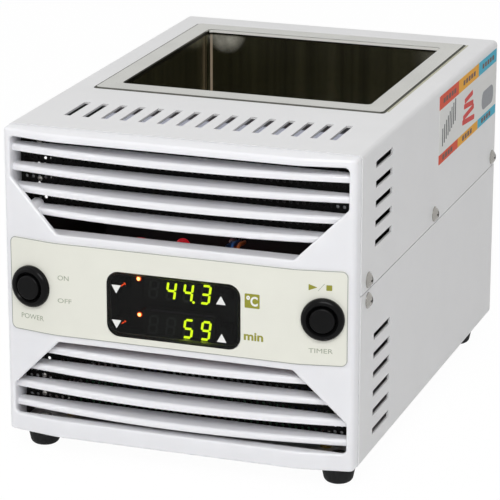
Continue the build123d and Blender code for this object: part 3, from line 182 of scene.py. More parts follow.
INNER_METALS = {
    "well_posts": ("galvanised_steel", (0.55, 0.56, 0.56), 0.42, (1, 1, 1), 180),
    "relay_heat_sink": ("milled_aluminium", (0.62, 0.63, 0.64), 0.36, (14, 1, 1), 700),
    "temperature_sensor": ("probe_steel", (0.58, 0.58, 0.58), 0.28),
    "board_standoffs": ("turned_brass", (0.60, 0.42, 0.14), 0.3, (1, 1, 6)),
    "transformer_core": ("core_laminations", (0.12, 0.12, 0.13), 0.5, (1, 30, 1), 200),
}

# Stage: places, aims and sizes in metres, powers in watts, camera angles in degrees

LAMPS_ABOUT = {
    "front_lamp": ((0.42, -1.38, 1.2), (0, 0, 0.08), (1.0, 0.8), 15.5),
    "left_lamp": ((-1.5, -0.9, 0.8), (0, 0, 0.08), (1.0, 1.0), 3),
    "top_lamp": ((-0.2, 0.1, 1.6), (0, 0, 0.1), (1.4, 1.4), 5),
}
WORLD_LIGHT = 0.35
FLOOR_SHARE, FLOOR_LEVEL = 0.96, 1.012
CAMERA_PLACE = (0.4684, -1.35799, 0.5312)
CAMERA_LENS = 202.61
CAMERA_AZIMUTH, CAMERA_ELEVATION, CAMERA_ROLL = 19.291, 17.486, 0.107


# Small helpers


def settings(name):
    """One of the three groups of settings."""
    return getattr(bpy.context.scene, name)


def start_clean():
    """Leaves edit mode and deselects everything."""
    if bpy.context.object and bpy.context.object.mode != "OBJECT":
        bpy.ops.object.mode_set(mode="OBJECT")
    bpy.ops.object.select_all(action="DESELECT")


def take(piece):
    """Makes a piece the active and the only selected one."""
    start_clean()
    piece.select_set(True)
    bpy.context.view_layer.objects.active = piece


def settle(piece):
    """Puts a finished piece's place into its mesh."""
    take(piece)
    bpy.ops.object.transform_apply(location=True, rotation=True, scale=True)


def edit(piece):
    """Opens edit mode on one piece, with everything selected."""
    take(piece)
    bpy.ops.object.mode_set(mode="EDIT")
    bpy.ops.mesh.select_all(action="SELECT")


def done():
    """Leaves edit mode."""
    bpy.ops.object.mode_set(mode="OBJECT")


def dress(piece, material, body=BODY):
    """Gives a new piece its material and the body it rides on."""
    piece.data.materials.clear()
    piece.data.materials.append(material)
    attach(piece, body)


def paint_nodes(material, *names):
    """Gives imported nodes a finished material."""
    for name in names:
        mesh = NODES[name].data
        mesh.materials.clear()
        mesh.materials.append(material)


def paint_table(maker, table):
    """Gives every node of a table the material that its row describes."""
    for node, row in table.items():
        paint_nodes(maker(*row), node)


def panel_depth(x):
    """How far the label's face lies behind its middle, at a distance across the panel."""
    look = settings("panel_look")
    reach = look.blend_radius * math.tan(look.facet_angle / 2)
    across = abs(x)
    if across < look.facet_start - reach:
        return 0.0
    if across < look.facet_start + reach * math.cos(look.facet_angle):
        run = across - look.facet_start + reach
        return look.blend_radius - math.sqrt(look.blend_radius**2 - run**2)
    return (across - look.facet_start) * math.tan(look.facet_angle)


def lay_on_panel(piece):
    """Moves a flat piece, drawn round y = 0, onto the bent face of the label."""
    for corner in piece.data.vertices:
        corner.co.y += LABEL_BOX[0][1] + panel_depth(corner.co.x)


def choose(test):
    """In edit mode, selects the vertices whose place passes a test."""
    shape = bmesh.from_edit_mesh(bpy.context.object.data)
    for item in (*shape.verts, *shape.edges, *shape.faces):
        item.select = False
    for corner in shape.verts:
        corner.select = test(corner.co)
    shape.select_flush(True)
    bmesh.update_edit_mesh(bpy.context.object.data)


def joined(name, pieces):
    """One piece from several."""
    start_clean()
    for piece in pieces:
        piece.select_set(True)
    bpy.context.view_layer.objects.active = pieces[0]
    if len(pieces) > 1:
        bpy.ops.object.join()
    pieces[0].name = name
    return pieces[0]


def copied(piece, move):
    """Copy of a finished piece, moved."""
    twin = piece.copy()
    twin.data = piece.data.copy()
    bpy.context.scene.collection.objects.link(twin)
    for corner in twin.data.vertices:
        corner.co += Vector(move)
    return twin


def round_corners(piece, thin, offset, cuts=3):
    """Rounds the edges of a flat piece that run along its thin axis."""
    edit(piece)
    bpy.ops.mesh.select_mode(type="EDGE")
    bpy.ops.mesh.select_all(action="DESELECT")
    shape = bmesh.from_edit_mesh(piece.data)
    for edge in shape.edges:
        run = edge.verts[0].co - edge.verts[1].co
        edge.select = abs(run[thin]) > 0.9 * run.length
    bmesh.update_edit_mesh(piece.data)
    bpy.ops.mesh.bevel(offset=offset, offset_type="OFFSET", segments=cuts)
    bpy.ops.mesh.select_mode(type="VERT")
    done()


def plate(name, low, high, corner=0.0, cuts=3):
    """Thin flat plate between two corners, its own corners rounded."""
    start_clean()
    middle = [(a + b) / 2 for a, b in zip(low, high)]
    bpy.ops.mesh.primitive_cube_add(size=1, location=middle)
    piece = bpy.context.object
    piece.name = name
    size = [b - a for a, b in zip(low, high)]
    piece.scale = size
    settle(piece)
    thin = size.index(min(size))
    round_corners(piece, thin, corner or LEAST_CORNER * sorted(size)[1], cuts)
    return piece


def lettering(name, words, low, high, weight=0.0):
    """Raised ink lettering that fills a box given by two corners (x, z)."""
    start_clean()
    bpy.ops.object.text_add(rotation=(math.pi / 2, 0, 0))
    text = bpy.context.object
    text.data.body = words
    text.data.size = 1.0
    text.data.offset = weight
    text.data.resolution_u = 4
    text.data.extrude = 0.5
    bpy.ops.object.convert(target="MESH")
    piece = bpy.context.object
    piece.name = name
    xs = [corner.co.x for corner in piece.data.vertices]
    ys = [corner.co.y for corner in piece.data.vertices]
    wide = (high[0] - low[0]) / (max(xs) - min(xs))
    tall = (high[1] - low[1]) / (max(ys) - min(ys))
    piece.scale = (wide, tall, INK)
    piece.location = (low[0] - min(xs) * wide, 0, low[1] - min(ys) * tall)
    settle(piece)
    return piece


# Materials


class Finish:
    """A procedural material under construction, read from object coordinates in metres."""

    def __init__(self, name, colour, roughness, metallic=0.0):
        self.material = bpy.data.materials.new(name)
        self.material.use_nodes = True
        self.nodes = self.material.node_tree.nodes
        self.links = self.material.node_tree.links
        self.shader = self.nodes["Principled BSDF"]
        self.set("Base Color", (*colour, 1)).set("Roughness", roughness).set("Metallic", metallic)
        self.colour = colour
        self.roughness = roughness
        self.place = self.add("TexCoord", {}).outputs["Object"]

    def put(self, socket, value):
        """Links an input to an output, or sets its value."""
        if isinstance(value, bpy.types.NodeSocket):
            self.links.new(value, socket)
        else:
            socket.default_value = value

    def set(self, name, value):
        """Sets or links one input of the shader."""
        self.put(self.shader.inputs[name], value)
        return self

    def add(self, kind, inputs, **attributes):
        """New node with its attributes, and its inputs set or linked."""
        node = self.nodes.new(f"ShaderNode{kind}")
        for name, value in attributes.items():
            setattr(node, name, value)
        for name, value in inputs.items():
            self.put(node.inputs[name], value)
        return node

    def math(self, operation, first, second):
        """One step of arithmetic on a socket and a number or a second socket."""
        return self.add("Math", {0: first, 1: second}, operation=operation).outputs[0]

    def noise(self, scale, detail=3.0, stretch=(1, 1, 1)):
        """Soft noise, its scale in features per metre."""
        source = self.place
        if stretch != (1, 1, 1):
            source = self.add("Mapping", {"Scale": stretch, "Vector": source}).outputs["Vector"]
        inputs = {"Scale": scale, "Detail": detail, "Roughness": 0.5, "Vector": source}
        return self.add("TexNoise", inputs).outputs["Fac"]

    def wander(self, scale, amount, stretch=(1, 1, 1), detail=3.0):
        """Slight lightening and darkening of the colour."""
        ramp = self.add("ValToRGB", {"Fac": self.noise(scale, detail, stretch)})
        steps = ((0.3, 1 - amount), (0.7, 1 + amount))
        for element, (position, share) in zip(ramp.color_ramp.elements, steps):
            element.position = position
            element.color = (*(min(1.0, max(0.0, level * share)) for level in self.colour), 1)
        return self.set("Base Color", ramp.outputs["Color"])

    def sheen_changes(self, scale, spread, stretch=(1, 1, 1)):
        """Lets the roughness wander about its value."""
        low, high = max(0.02, self.roughness - spread), min(1.0, self.roughness + spread)
        value = self.noise(scale, 4.0, stretch)
        limits = self.add("MapRange", {"To Min": low, "To Max": high, "Value": value})
        return self.set("Roughness", limits.outputs["Result"])

    def grain(self, scale, distance, strength=0.5, stretch=(1, 1, 1), detail=2.0):
        """Fine relief from noise."""
        height = self.noise(scale, detail, stretch)
        bump = self.add("Bump", {"Distance": distance, "Strength": strength, "Height": height})
        return self.set("Normal", bump.outputs["Normal"])

    def along(self, axis):
        """Socket with the object coordinate along one axis."""
        return self.add("SeparateXYZ", {"Vector": self.place}).outputs[axis]

    def inside(self, low, high):
        """Socket that is 1 between two corners and 0 elsewhere."""
        result = None
        for axis, start, end in zip("XYZ", low, high):
            for operation, limit in (("GREATER_THAN", start), ("LESS_THAN", end)):
                if limit is not None:
                    test = self.math(operation, self.along(axis), limit)
                    result = self.math("MULTIPLY", result, test) if result else test
        return result

    def near(self, place, radius, softness):
        """Socket that fades from 1 at a place to 0 at a distance from it."""
        distance = self.add("VectorMath", {0: self.place, 1: place}, operation="DISTANCE")
        value = distance.outputs["Value"]
        fade = {"From Min": radius, "From Max": radius - softness, "Value": value}
        return self.add("MapRange", fade).outputs["Result"]

    def tint(self, mask, colour, metallic=None):
        """Another colour, and if wished another metallic value, where a mask is 1."""
        plain = self.shader.inputs["Base Color"].links[0].from_socket
        mix = self.add("Mix", {"Factor": mask, "A": plain, "B": (*colour, 1)}, data_type="RGBA")
        if metallic is not None:
            base = self.shader.inputs["Metallic"].default_value
            level = self.add("MapRange", {"To Min": base, "To Max": metallic, "Value": mask})
            self.set("Metallic", level.outputs["Result"])
        return self.set("Base Color", mix.outputs["Result"])

    def dull(self, mask, colour):
        """A matt film over the finish where a mask is 1."""
        film = self.add("BsdfDiffuse", {"Color": (*colour, 1)})
        mix = self.add("MixShader", {0: mask, 1: self.shader.outputs[0], 2: film.outputs[0]})
        self.put(self.nodes["Material Output"].inputs["Surface"], mix.outputs[0])
        return self

    def bands(self, axis, start, end, rows):
        """Plain bands of colour along one axis, each from its own share of the way."""
        way = self.add("MapRange", {"From Min": start, "From Max": end, "Value": self.along(axis)})
        ramp = self.add("ValToRGB", {"Fac": way.outputs["Result"]})
        ramp.color_ramp.interpolation = "CONSTANT"
        elements = ramp.color_ramp.elements
        for index, (position, colour) in enumerate(rows):
            element = elements[index] if index < 2 else elements.new(position)
            element.position = position
            element.color = (*colour, 1)
        return ramp.outputs["Color"]

    def coat(self, weight, roughness):
        """Clear gloss over the colour."""
        return self.set("Coat Weight", weight).set("Coat Roughness", roughness)

    def glow(self, colour, strength):
        """Light of its own."""
        return self.set("Emission Color", (*colour, 1)).set("Emission Strength", strength)


def powder_coat():
    """Semi-gloss powder coat with a faint orange-peel surface, and painted shade over the inside of
    the case.
    """
    finish = Finish("powder_coat", settings("case_look").paint[:], 0.42)
    finish.wander(38, 0.012).sheen_changes(160, 0.05)
    low, high = COVER_BOX
    # Painted shade: the inner faces of the case sheet are coloured near-black.
    painted_shade_inside = finish.inside(
        (low[0] + 0.0011, None, FOOT + 0.0013),
        (high[0] - 0.0011, high[1] - 0.0016, high[2] - 0.0011),
    )
    finish.tint(painted_shade_inside, (0.045, 0.045, 0.045))
    return finish.grain(900, 0.00006, 0.35).coat(0.12, 0.3).material


def moulded_white():
    """Glossy white moulding, with painted shade on its inner faces behind the display window."""
    finish = Finish("moulded_white", settings("case_look").moulding[:], 0.3)
    finish.wander(30, 0.01).sheen_changes(90, 0.04)
    low, high = WINDOW_BOX
    # Painted shade: the inner faces of the moulding behind the display window are coloured
    # near-black.
    painted_shade_behind_window = finish.inside(
        (low[0] - 0.004, low[1] + 0.0022, low[2] - 0.004), (high[0] + 0.004, None, high[2] + 0.004)
    )
    finish.tint(painted_shade_behind_window, (0.012, 0.012, 0.012))
    finish.set("Subsurface Weight", 0.35).set("Subsurface Scale", 0.006)
    finish.set("Subsurface Radius", (1.0, 0.95, 0.9))
    return finish.grain(1400, 0.00003, 0.25).coat(0.35, 0.12).material


def brushed_rim():
    """Stainless rim, with painted shade down its inner wall and a painted highlight along its rear
    inner lip.
    """
    finish = Finish("rim_stainless", (0.46, 0.46, 0.43), 0.3, 1.0)
    finish.wander(50, 0.05).sheen_changes(700, 0.08, (1, 14, 14))
    low, high = RIM_BOX
    # Painted shade: the rim's inner wall below its top is coloured dark.
    wall = finish.inside(
        (low[0] + 0.009, low[1] + 0.009, None), (high[0] - 0.009, high[1] - 0.009, high[2] - 0.0009)
    )
    finish.tint(wall, (0.035, 0.03, 0.022))
    # Painted highlight: a near-white, barely metallic band along the top of the rear inner wall.
    painted_highlight_lip = finish.inside(
        (low[0] + 0.009, high[1] - 0.0125, high[2] - 0.0018),
        (high[0] - 0.009, high[1] - 0.009, high[2] - 0.0002),
    )
    finish.tint(painted_highlight_lip, (0.95, 0.94, 0.90), 0.05)
    return finish.grain(900, 0.00002, 0.3, (1, 14, 14)).material


def heater_face():
    """Dark hard-anodised plate with milling marks and small scratches."""
    finish = Finish("hard_anodised", (0.13, 0.13, 0.125), 0.42, 0.6)
    finish.wander(40, 0.10, (1, 12, 1)).sheen_changes(300, 0.06, (1, 20, 1))
    return finish.grain(700, 0.00003, 0.4, (1, 20, 1)).material


def casing_paint():
    """Pale paint, with a painted glow on its front wall where the slots of the cover let one see it,
    and painted shade on all of it below 0.14 m.
    """
    finish = Finish("casing_paint", (0.70, 0.71, 0.76), 0.5)
    finish.wander(120, 0.02).sheen_changes(200, 0.06)
    low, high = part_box("well_casing")
    # Painted light: a faint glow on the upper front wall, seen through the slots of the cover.
    lit = finish.inside((None, low[1] - 0.001, 0.150), (None, low[1] + 0.001, high[2] - 0.0125))
    finish.glow((0.80, 0.84, 1.0), finish.math("MULTIPLY", lit, 0.38))
    # Painted shade: everything below 0.14 m is coloured near-black.
    finish.tint(finish.inside((None, None, None), (None, None, 0.14)), (0.02, 0.02, 0.02))
    return finish.grain(900, 0.00003, 0.3).material


def mirror_liner():
    """Dark mirror-like steel, with a painted highlight down its rear left corner and pale matt
    patches near the top of its back wall.
    """
    finish = Finish("liner_stainless", (0.32, 0.31, 0.22), 0.2, 1.0)
    # Strong upright streaks in the colour: painted reflections down the walls.
    finish.wander(160, 0.4, (1, 1, 0.02)).sheen_changes(500, 0.05, (1, 1, 8))
    low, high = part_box("well_liner")
    # Painted highlight: a paler, less metallic strip down the rear left corner.
    corner = finish.inside((low[0] + 0.0026, high[1] - 0.0035, None), (low[0] + 0.0038, None, None))
    finish.tint(corner, (0.46, 0.36, 0.27), 0.2)
    near_left = finish.near((low[0] + 0.012, high[1], high[2] - 0.0005), 0.0125, 0.006)
    near_right = finish.near((high[0] - 0.004, high[1], high[2] - 0.004), 0.016, 0.012)
    pale_patches = finish.math("ADD", near_left, finish.math("MULTIPLY", near_right, 0.22))
    patch = finish.math("MULTIPLY", pale_patches, finish.noise(160, 5.0))
    return finish.grain(500, 0.00002, 0.3, (1, 1, 8)).dull(patch, (0.62, 0.60, 0.52)).material


def printed_film():
    """Cream polyester film with a fine matt tooth."""
    finish = Finish("printed_film", settings("panel_look").film[:], 0.46)
    finish.wander(60, 0.012).sheen_changes(300, 0.05)
    return finish.grain(2600, 0.00002, 0.3).material


def black_moulding(name, roughness, coat=0.0):
    """Black plastic."""
    finish = Finish(name, (0.004, 0.004, 0.0042), roughness)
    finish.set("Specular IOR Level", 0.1)
    finish.wander(120, 0.2).sheen_changes(240, 0.06).grain(1800, 0.00003, 0.3)
    return finish.coat(coat, 0.08).material


def bright_metal(name, colour, roughness, stretch=(1, 1, 1), scale=600):
    """Metal with fine rolling or brushing marks."""
    finish = Finish(name, colour, roughness, 1.0)
    finish.wander(50, 0.04).sheen_changes(scale, 0.08, stretch)
    return finish.grain(scale, 0.00002, 0.3, stretch).material


def coloured_plastic(name, colour, roughness=0.4, scale=300, variation=0.06):
    """Small coloured parts: wire insulation, boards, sleeves."""
    finish = Finish(name, colour, roughness)
    finish.wander(scale, variation).sheen_changes(scale, 0.05)
    return finish.grain(scale * 5, 0.00002, 0.3).material


def circuit_board():
    """Green solder resist over faint copper tracks."""
    finish = Finish("circuit_board", (0.02, 0.11, 0.05), 0.35)
    brick = finish.add("TexBrick", {
        "Vector": finish.place, "Scale": 120, "Color1": (0.02, 0.11, 0.05, 1),
        "Color2": (0.025, 0.14, 0.06, 1), "Mortar": (0.05, 0.22, 0.09, 1),
    })
    finish.set("Base Color", brick.outputs["Color"])
    return finish.grain(900, 0.00004, 0.4).coat(0.4, 0.15).material


def fibre_board():
    """Off-white ceramic fibre."""
    finish = Finish("ceramic_fibre", (0.72, 0.69, 0.58), 0.95)
    return finish.wander(400, 0.12, detail=6).grain(1500, 0.0003, 0.8, detail=6).material


def smoked_pane():
    """Smoke-tinted window that lets the display behind it show."""
    finish = Finish("smoked_pane", (0.20, 0.205, 0.195), 0.05)
    return finish.wander(200, 0.04).set("Transmission Weight", 1.0).set("IOR", 1.2).material


# Operators


class DRYBATH_OT_case(Operator):
    """Paints the case, the bezel and the rear panel"""

    bl_idname = "dry_bath.case"
    bl_label = "Case and bezel"

    def execute(self, context):
        paint_nodes(powder_coat(), "top_cover", "base_chassis", "rear_panel")
        paint_nodes(moulded_white(), "front_bezel")
        rubber = Finish("foot_rubber", settings("case_look").rubber[:], 0.7)
        rubber.set("Specular IOR Level", 0.15).wander(200, 0.2).grain(900, 0.00008, 0.5)
        feet = [f"foot_{end}_{side}" for end in ("front", "rear") for side in ("left", "right")]
        paint_nodes(rubber.material, *feet)
        nickel = bright_metal("nickel_plate", (0.34, 0.33, 0.31), 0.25)
        paint_nodes(
            nickel, "case_screws", "small_screws", "foot_screws", "guard_screws",
            "power_switch_nut", "timer_switch_nut", "inlet_pins",
        )
        return {"FINISHED"}


class DRYBATH_OT_well(Operator):
    """Gives the heated well its metals and insulation"""

    bl_idname = "dry_bath.well"
    bl_label = "Heated well"

    def execute(self, context):
        paint_nodes(brushed_rim(), "well_rim")
        paint_nodes(mirror_liner(), "well_liner")
        paint_nodes(casing_paint(), "well_casing")
        paint_nodes(heater_face(), "heater_plate")
        paint_nodes(fibre_board(), "well_insulation", "floor_insulation")
        low, high = RIM_BOX
        start = high[0] + settings("case_look").gasket
        seat = COVER_BOX[1][2]
        # The dark bead is partly a real gasket and partly painted shade in the gap round the rim.
        dark = coloured_plastic("gasket_rubber_and_gap_shade", (0.03, 0.03, 0.018), 0.7, 400, 0.2)
        dress(rim_gasket_and_gap_shade(), dark)
        end = (start + 0.0011, high[1] + 0.001, seat + 0.0001)
        bead = plate("rim_seal", (start, low[1] + 0.003, seat), end)
        pale = coloured_plastic("silicone_seal", (0.50, 0.49, 0.37), 0.6, 400, 0.1)
        dress(bead, pale)
        return {"FINISHED"}


class DRYBATH_OT_electronics(Operator):
    """Finishes the boards, the components, the inner metals, the inlet and the leads"""

    bl_idname = "dry_bath.electronics"
    bl_label = "Electronics and inlet"

    def execute(self, context):
        paint_nodes(circuit_board(), "power_board")
        paint_table(coloured_plastic, INNER_PLASTICS)
        paint_table(bright_metal, INNER_METALS)
        black = ("switching_relay", "thermal_cutout", "power_inlet", "fuse_drawer", "key_switches")
        paint_nodes(black_moulding("black_moulding", 0.45), *black)
        # Painted light: the red leads glow faintly so that they show in the dark inside of the case.
        red = Finish("lead_red", (0.60, 0.006, 0.01), 0.35)
        red.wander(500, 0.06).grain(2500, 0.00002, 0.3).glow((0.9, 0.01, 0.03), 0.25)
        paint_nodes(red.material, "power_leads", "timer_leads")
        return {"FINISHED"}


class DRYBATH_OT_controls(Operator):
    """Finishes the control band: label film, window, switches, display and keys"""

    bl_idname = "dry_bath.controls"
    bl_label = "Control band"

    def execute(self, context):
        paint_nodes(printed_film(), "control_label")
        paint_nodes(smoked_pane(), "display_window")
        for part, name, roughness in (("body", "switch_gloss", 0.2), ("button", "button_gloss", 0.3)):
            gloss = black_moulding(name, roughness)
            paint_nodes(gloss, f"power_switch_{part}", f"timer_switch_{part}")
        face = coloured_plastic("display_face", (0.022, 0.025, 0.022), 0.35)
        paint_nodes(face, "digit_module_upper", "digit_module_lower")
        keys = [f"{value}_{way}_key" for value in ("temperature", "time") for way in ("down", "up")]
        paint_nodes(coloured_plastic("key_caps", (0.02, 0.02, 0.022), 0.2), *keys)
        return {"FINISHED"}


class DRYBATH_OT_marks(Operator):
    """Prints the generic words and marks and the key arrows, and lays a line of painted shade along
    the label's edge
    """

    bl_idname = "dry_bath.marks"
    bl_label = "Printed marks"

    def execute(self, context):
        look = settings("panel_look")
        olive = ink("olive_ink", look.olive[:])
        grey = ink("grey_ink", look.grey[:])
        pale = ink("pale_ink", (0.86, 0.86, 0.84))
        for name, (words, low, high) in WORDS.items():
            word = lettering(name, words, low, high)
            lay_on_panel(word)
            dress(word, grey)
        minutes = lettering("word_min", *MINUTES)
        lay_on_panel(minutes)
        dress(minutes, olive)
        low, high = DEGREES_PATCH
        patch = plate("degrees_patch", (low[0], -INK, low[1]), (high[0], INK, high[1]), 0.0004)
        lay_on_panel(patch)
        dress(patch, olive)
        word = lettering("word_degrees", *DEGREES)
        lay_on_panel(word)
        for corner in word.data.vertices:
            corner.co.y -= INK
        dress(word, pale)
        for name, piece in start_stop_signs().items():
            lay_on_panel(piece)
            dress(piece, olive if name != "sign_bar" else grey)
        # Painted shade: a thin grey line where the label's edge meets the panel.
        edge_shade = label_edge_shade_line()
        lay_on_panel(edge_shade)
        dress(edge_shade, ink("label_edge_shade", (0.36, 0.37, 0.35)))
        for name, (x, z, up) in ARROWS.items():
            arrow = triangle(name, x, z, *ARROW_SIZE, up)
            lay_on_panel(arrow)
            dress(arrow, pale)
        return {"FINISHED"}


class DRYBATH_OT_display(Operator):
    """Lights the digits, the dot and the two indicator lamps behind the window, with a painted
    highlight on a module edge and painted glints on the keys
    """

    bl_idname = "dry_bath.display"
    bl_label = "Display"

    def execute(self, context):
        look = settings("panel_look")
        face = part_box("digit_module_upper")[0][1]
        lit = Finish("lit_segment", look.lit[:], 0.4)
        lit.wander(900, 0.08).glow(look.lit[:], 5.0)
        dim = Finish("dark_segment", (0.13, 0.14, 0.15), 0.5)
        dim.wander(900, 0.2)
        tall = (look.digit_height - look.segment_width) / 2
        bars = {
            True: segment(face, tall - BAR_GAP, True),
            False: segment(face, look.digit_width - BAR_GAP, False),
        }
        for name, (shown, x, z) in DIGITS.items():
            for kind, piece in digit(name, shown, x, z + FOOT, bars).items():
                dress(piece, (lit if kind == "lit" else dim).material)
        for bar in bars.values():
            bpy.data.objects.remove(bar)
        dot = rounded_stud("decimal_dot", 0.00935, 0.0800 + FOOT, face, 0.00065, 0.0003)
        dress(dot, lit.material)
        # Painted highlight: a thin pale plate along the top edge of the lower digit module, where the
        # edge catches the light.
        edge = plate(
            "module_edge_painted_highlight", (-0.0138, face - 0.0001, 0.0734 + FOOT), (0.0204, face, 0.0742 + FOOT)
        )
        dress(edge, coloured_plastic("module_edge_painted_highlight", (0.14, 0.11, 0.155), 0.4))
        light_lamps()
        return {"FINISHED"}


def light_lamps():
    """The two indicator lamps with glowing faces and bright cores, and painted glints of them: small
    glowing plates on the key stems.
    """
    body = Finish("lamp_body", (0.20, 0.02, 0.006), 0.25)
    body.wander(900, 0.1)
    halo = Finish("lamp_halo_and_painted_glints", (1.0, 0.16, 0.03), 0.3)
    halo.wander(900, 0.1).glow((1.0, 0.07, 0.008), 5.0)
    core = Finish("lamp_core", (1.0, 0.75, 0.2), 0.3)
    core.wander(900, 0.1).glow((1.0, 0.60, 0.15), 20.0)
    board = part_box("display_board")[0][1]
    (x, z), (other_x, other_z) = LAMPS
    studs = {
        "indicator_lamps": (body, board, 0.0015, 0.0076),
        "lamp_faces": (halo, board - 0.0074, 0.0013, 0.0004),
        "lamp_cores": (core, board - 0.0077, 0.0008, 0.0004),
    }
    for name, (finish, back, radius, length) in studs.items():
        stud = rounded_stud(name, x, z + FOOT, back, radius, length)
        piece = joined(name, [stud, copied(stud, (other_x - x, 0, other_z - z))])
        dress(piece, finish.material)
        if name == "indicator_lamps":
            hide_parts("indicator_leds")
    # Painted glints: small glowing plates that stand for the lamps' reflections on the key stems.
    glints = []
    for x, z, length, turn in GLINTS:
        end = (length / 2, 0.0001, 0.00025)
        glint = plate("glint", [-value for value in end], end, 0.0002)
        glint.rotation_euler = (0, -math.radians(turn), 0)
        glint.location = (x, WINDOW_BOX[1][1] + 0.0002, z + FOOT)
        settle(glint)
        glints.append(glint)
    dress(joined("key_glints", glints), halo.material)


class DRYBATH_OT_sticker(Operator):
    """Puts the plain banded sticker on the right side of the cover"""

    bl_idname = "dry_bath.sticker"
    bl_label = "Side sticker"

    def execute(self, context):
        (start, bottom), (end, top) = STICKER_PLACE
        side, front = COVER_BOX[1][0], COVER_BOX[0][1]
        low = (side - 0.00005, front + start, bottom)
        high = (side + 0.00015, front + end, top)
        wide, tall = high[1] - low[1], high[2] - low[2]
        sticker = plate("side_sticker", low, high, 0.0006)
        dress(sticker, banded_film(low, high))
        bars = [
            sticker_mark("bar", low, high, (0.05 + 0.03 * k, 0.24 + 0.03 * k),
                         (0.062 + 0.03 * k, 0.50 + 0.04 * k))
            for k in range(8)
        ]
        dash = sticker_mark("dash", low, high, (0, 0), (0.030, 0.07))
        dashes = [
            copied(dash, (0, (first + 0.045 * k) * wide, base * tall))
            for first in (0.06, 0.40, 0.74) for base, count in ((0.865, 5), (0.035, 4))
            for k in range(count)
        ]
        bpy.data.objects.remove(dash)
        waves = wave_marks(low, high)
        disc = sticker_mark("sticker_disc", low, high, (0.74, 0.22), (0.95, 0.50), 0.0046, 8)
        marks = {
            "sticker_bars": (bars, "sticker_grey", (0.07, 0.075, 0.08)),
            "sticker_dashes": (dashes, "sticker_dark", (0.16, 0.10, 0.08)),
            "sticker_waves": (waves, "sticker_red", (0.66, 0.07, 0.06)),
            "sticker_disc": ([disc], "sticker_silver", (0.34, 0.35, 0.37)),
        }
        for name, (pieces, ink_name, colour) in marks.items():
            dress(joined(name, pieces), ink(ink_name, colour))
        return {"FINISHED"}


def sticker_mark(name, low, high, start, end, corner=0.0, cuts=3):
    """Flat mark on the sticker, between two places in shares of its width and height."""
    wide, tall = high[1] - low[1], high[2] - low[2]
    return plate(
        name, (high[0], low[1] + start[0] * wide, low[2] + start[1] * tall),
        (high[0] + INK, low[1] + end[0] * wide, low[2] + end[1] * tall), corner, cuts,
    )


def wave_marks(low, high):
    """Four leaning strokes in the middle column of the sticker."""
    wide, tall = high[1] - low[1], high[2] - low[2]
    strokes = []
    for index in range(4):
        half = 0.0125 - 0.0014 * index
        stroke = plate("stroke", (0, -half, -0.0014), (INK, half, 0.0014), 0.0007)
        stroke.rotation_euler = (math.radians(5 if index % 2 else -5), 0, 0)
        stroke.location = (high[0], low[1] + 0.50 * wide, low[2] + (0.28 + 0.115 * index) * tall)
        settle(stroke)
        strokes.append(stroke)
    return strokes


class DRYBATH_OT_guards(Operator):
    """Makes the perforated guards behind both grilles"""

    bl_idname = "dry_bath.guards"
    bl_label = "Perforated guards"

    def execute(self, context):
        black = Finish("guard_black", (0.006, 0.006, 0.006), 0.5)
        black.set("Specular IOR Level", 0.12).wander(200, 0.15).grain(700, 0.00005, 0.4)
        for node in ("upper_guard", "lower_guard"):
            sheet = perforated(f"{node}_sheet", *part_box(node))
            dress(sheet, black.material)
            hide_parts(node)
        return {"FINISHED"}


class DRYBATH_OT_stage(Operator):
    """Sets the floor, the lights, the world and the camera"""

    bl_idname = "dry_bath.stage"
    bl_label = "Stage"

    def execute(self, context):
        make_floor()
        make_world(context.scene)
        make_lights()
        make_camera(context.scene)
        context.scene.view_settings.view_transform = "Standard"
        return {"FINISHED"}


def ink(name, colour):
    """Matt printing ink."""
    finish = Finish(name, colour, 0.6)
    finish.set("Specular IOR Level", 0.2)
    return finish.wander(700, 0.04).grain(3000, 0.00001, 0.3).material


def banded_film(low, high):
    """Sticker with three columns, each with a coloured head and foot and a pale field."""
    finish = Finish("banded_film", (0.80, 0.80, 0.78), 0.6)
    finish.set("Specular IOR Level", 0.15)
    mix = finish.add("Mix", {
        "Factor": finish.bands("Z", low[2], high[2], STICKER_ROWS), "A": (0.82, 0.82, 0.80, 1),
        "B": finish.bands("Y", low[1], high[1], STICKER_COLUMNS),
    }, data_type="RGBA")
    finish.set("Base Color", mix.outputs["Result"])
    return finish.grain(1800, 0.00002, 0.3).material


def triangle(name, x, z, width, height, up):
    """Small solid arrow head."""
    start_clean()
    bpy.ops.mesh.primitive_cylinder_add(
        vertices=3, radius=1, depth=2 * INK, rotation=(math.pi / 2, 0, 0)
    )
    piece = bpy.context.object
    piece.name = name
    settle(piece)
    lows = [min(c.co[axis] for c in piece.data.vertices) for axis in range(3)]
    highs = [max(c.co[axis] for c in piece.data.vertices) for axis in range(3)]
    peak = [c.co.x for c in piece.data.vertices if abs(c.co.z - highs[2]) < 1e-6]
    upright = len(peak) == 2
    turn = 1 if upright == up else -1
    piece.scale = (width / (highs[0] - lows[0]), 1, turn * height / (highs[2] - lows[2]))
    middle = (lows[2] + highs[2]) / 2
    piece.location = (x, 0, z + FOOT - middle * piece.scale.z)
    settle(piece)
    outwards(piece)
    round_corners(piece, 1, LEAST_CORNER * height / 2)
    return piece


def outwards(piece):
    """Merges doubles and turns all faces outwards."""
    edit(piece)
    bpy.ops.mesh.remove_doubles(threshold=1e-7)
    bpy.ops.mesh.normals_make_consistent(inside=False)
    done()


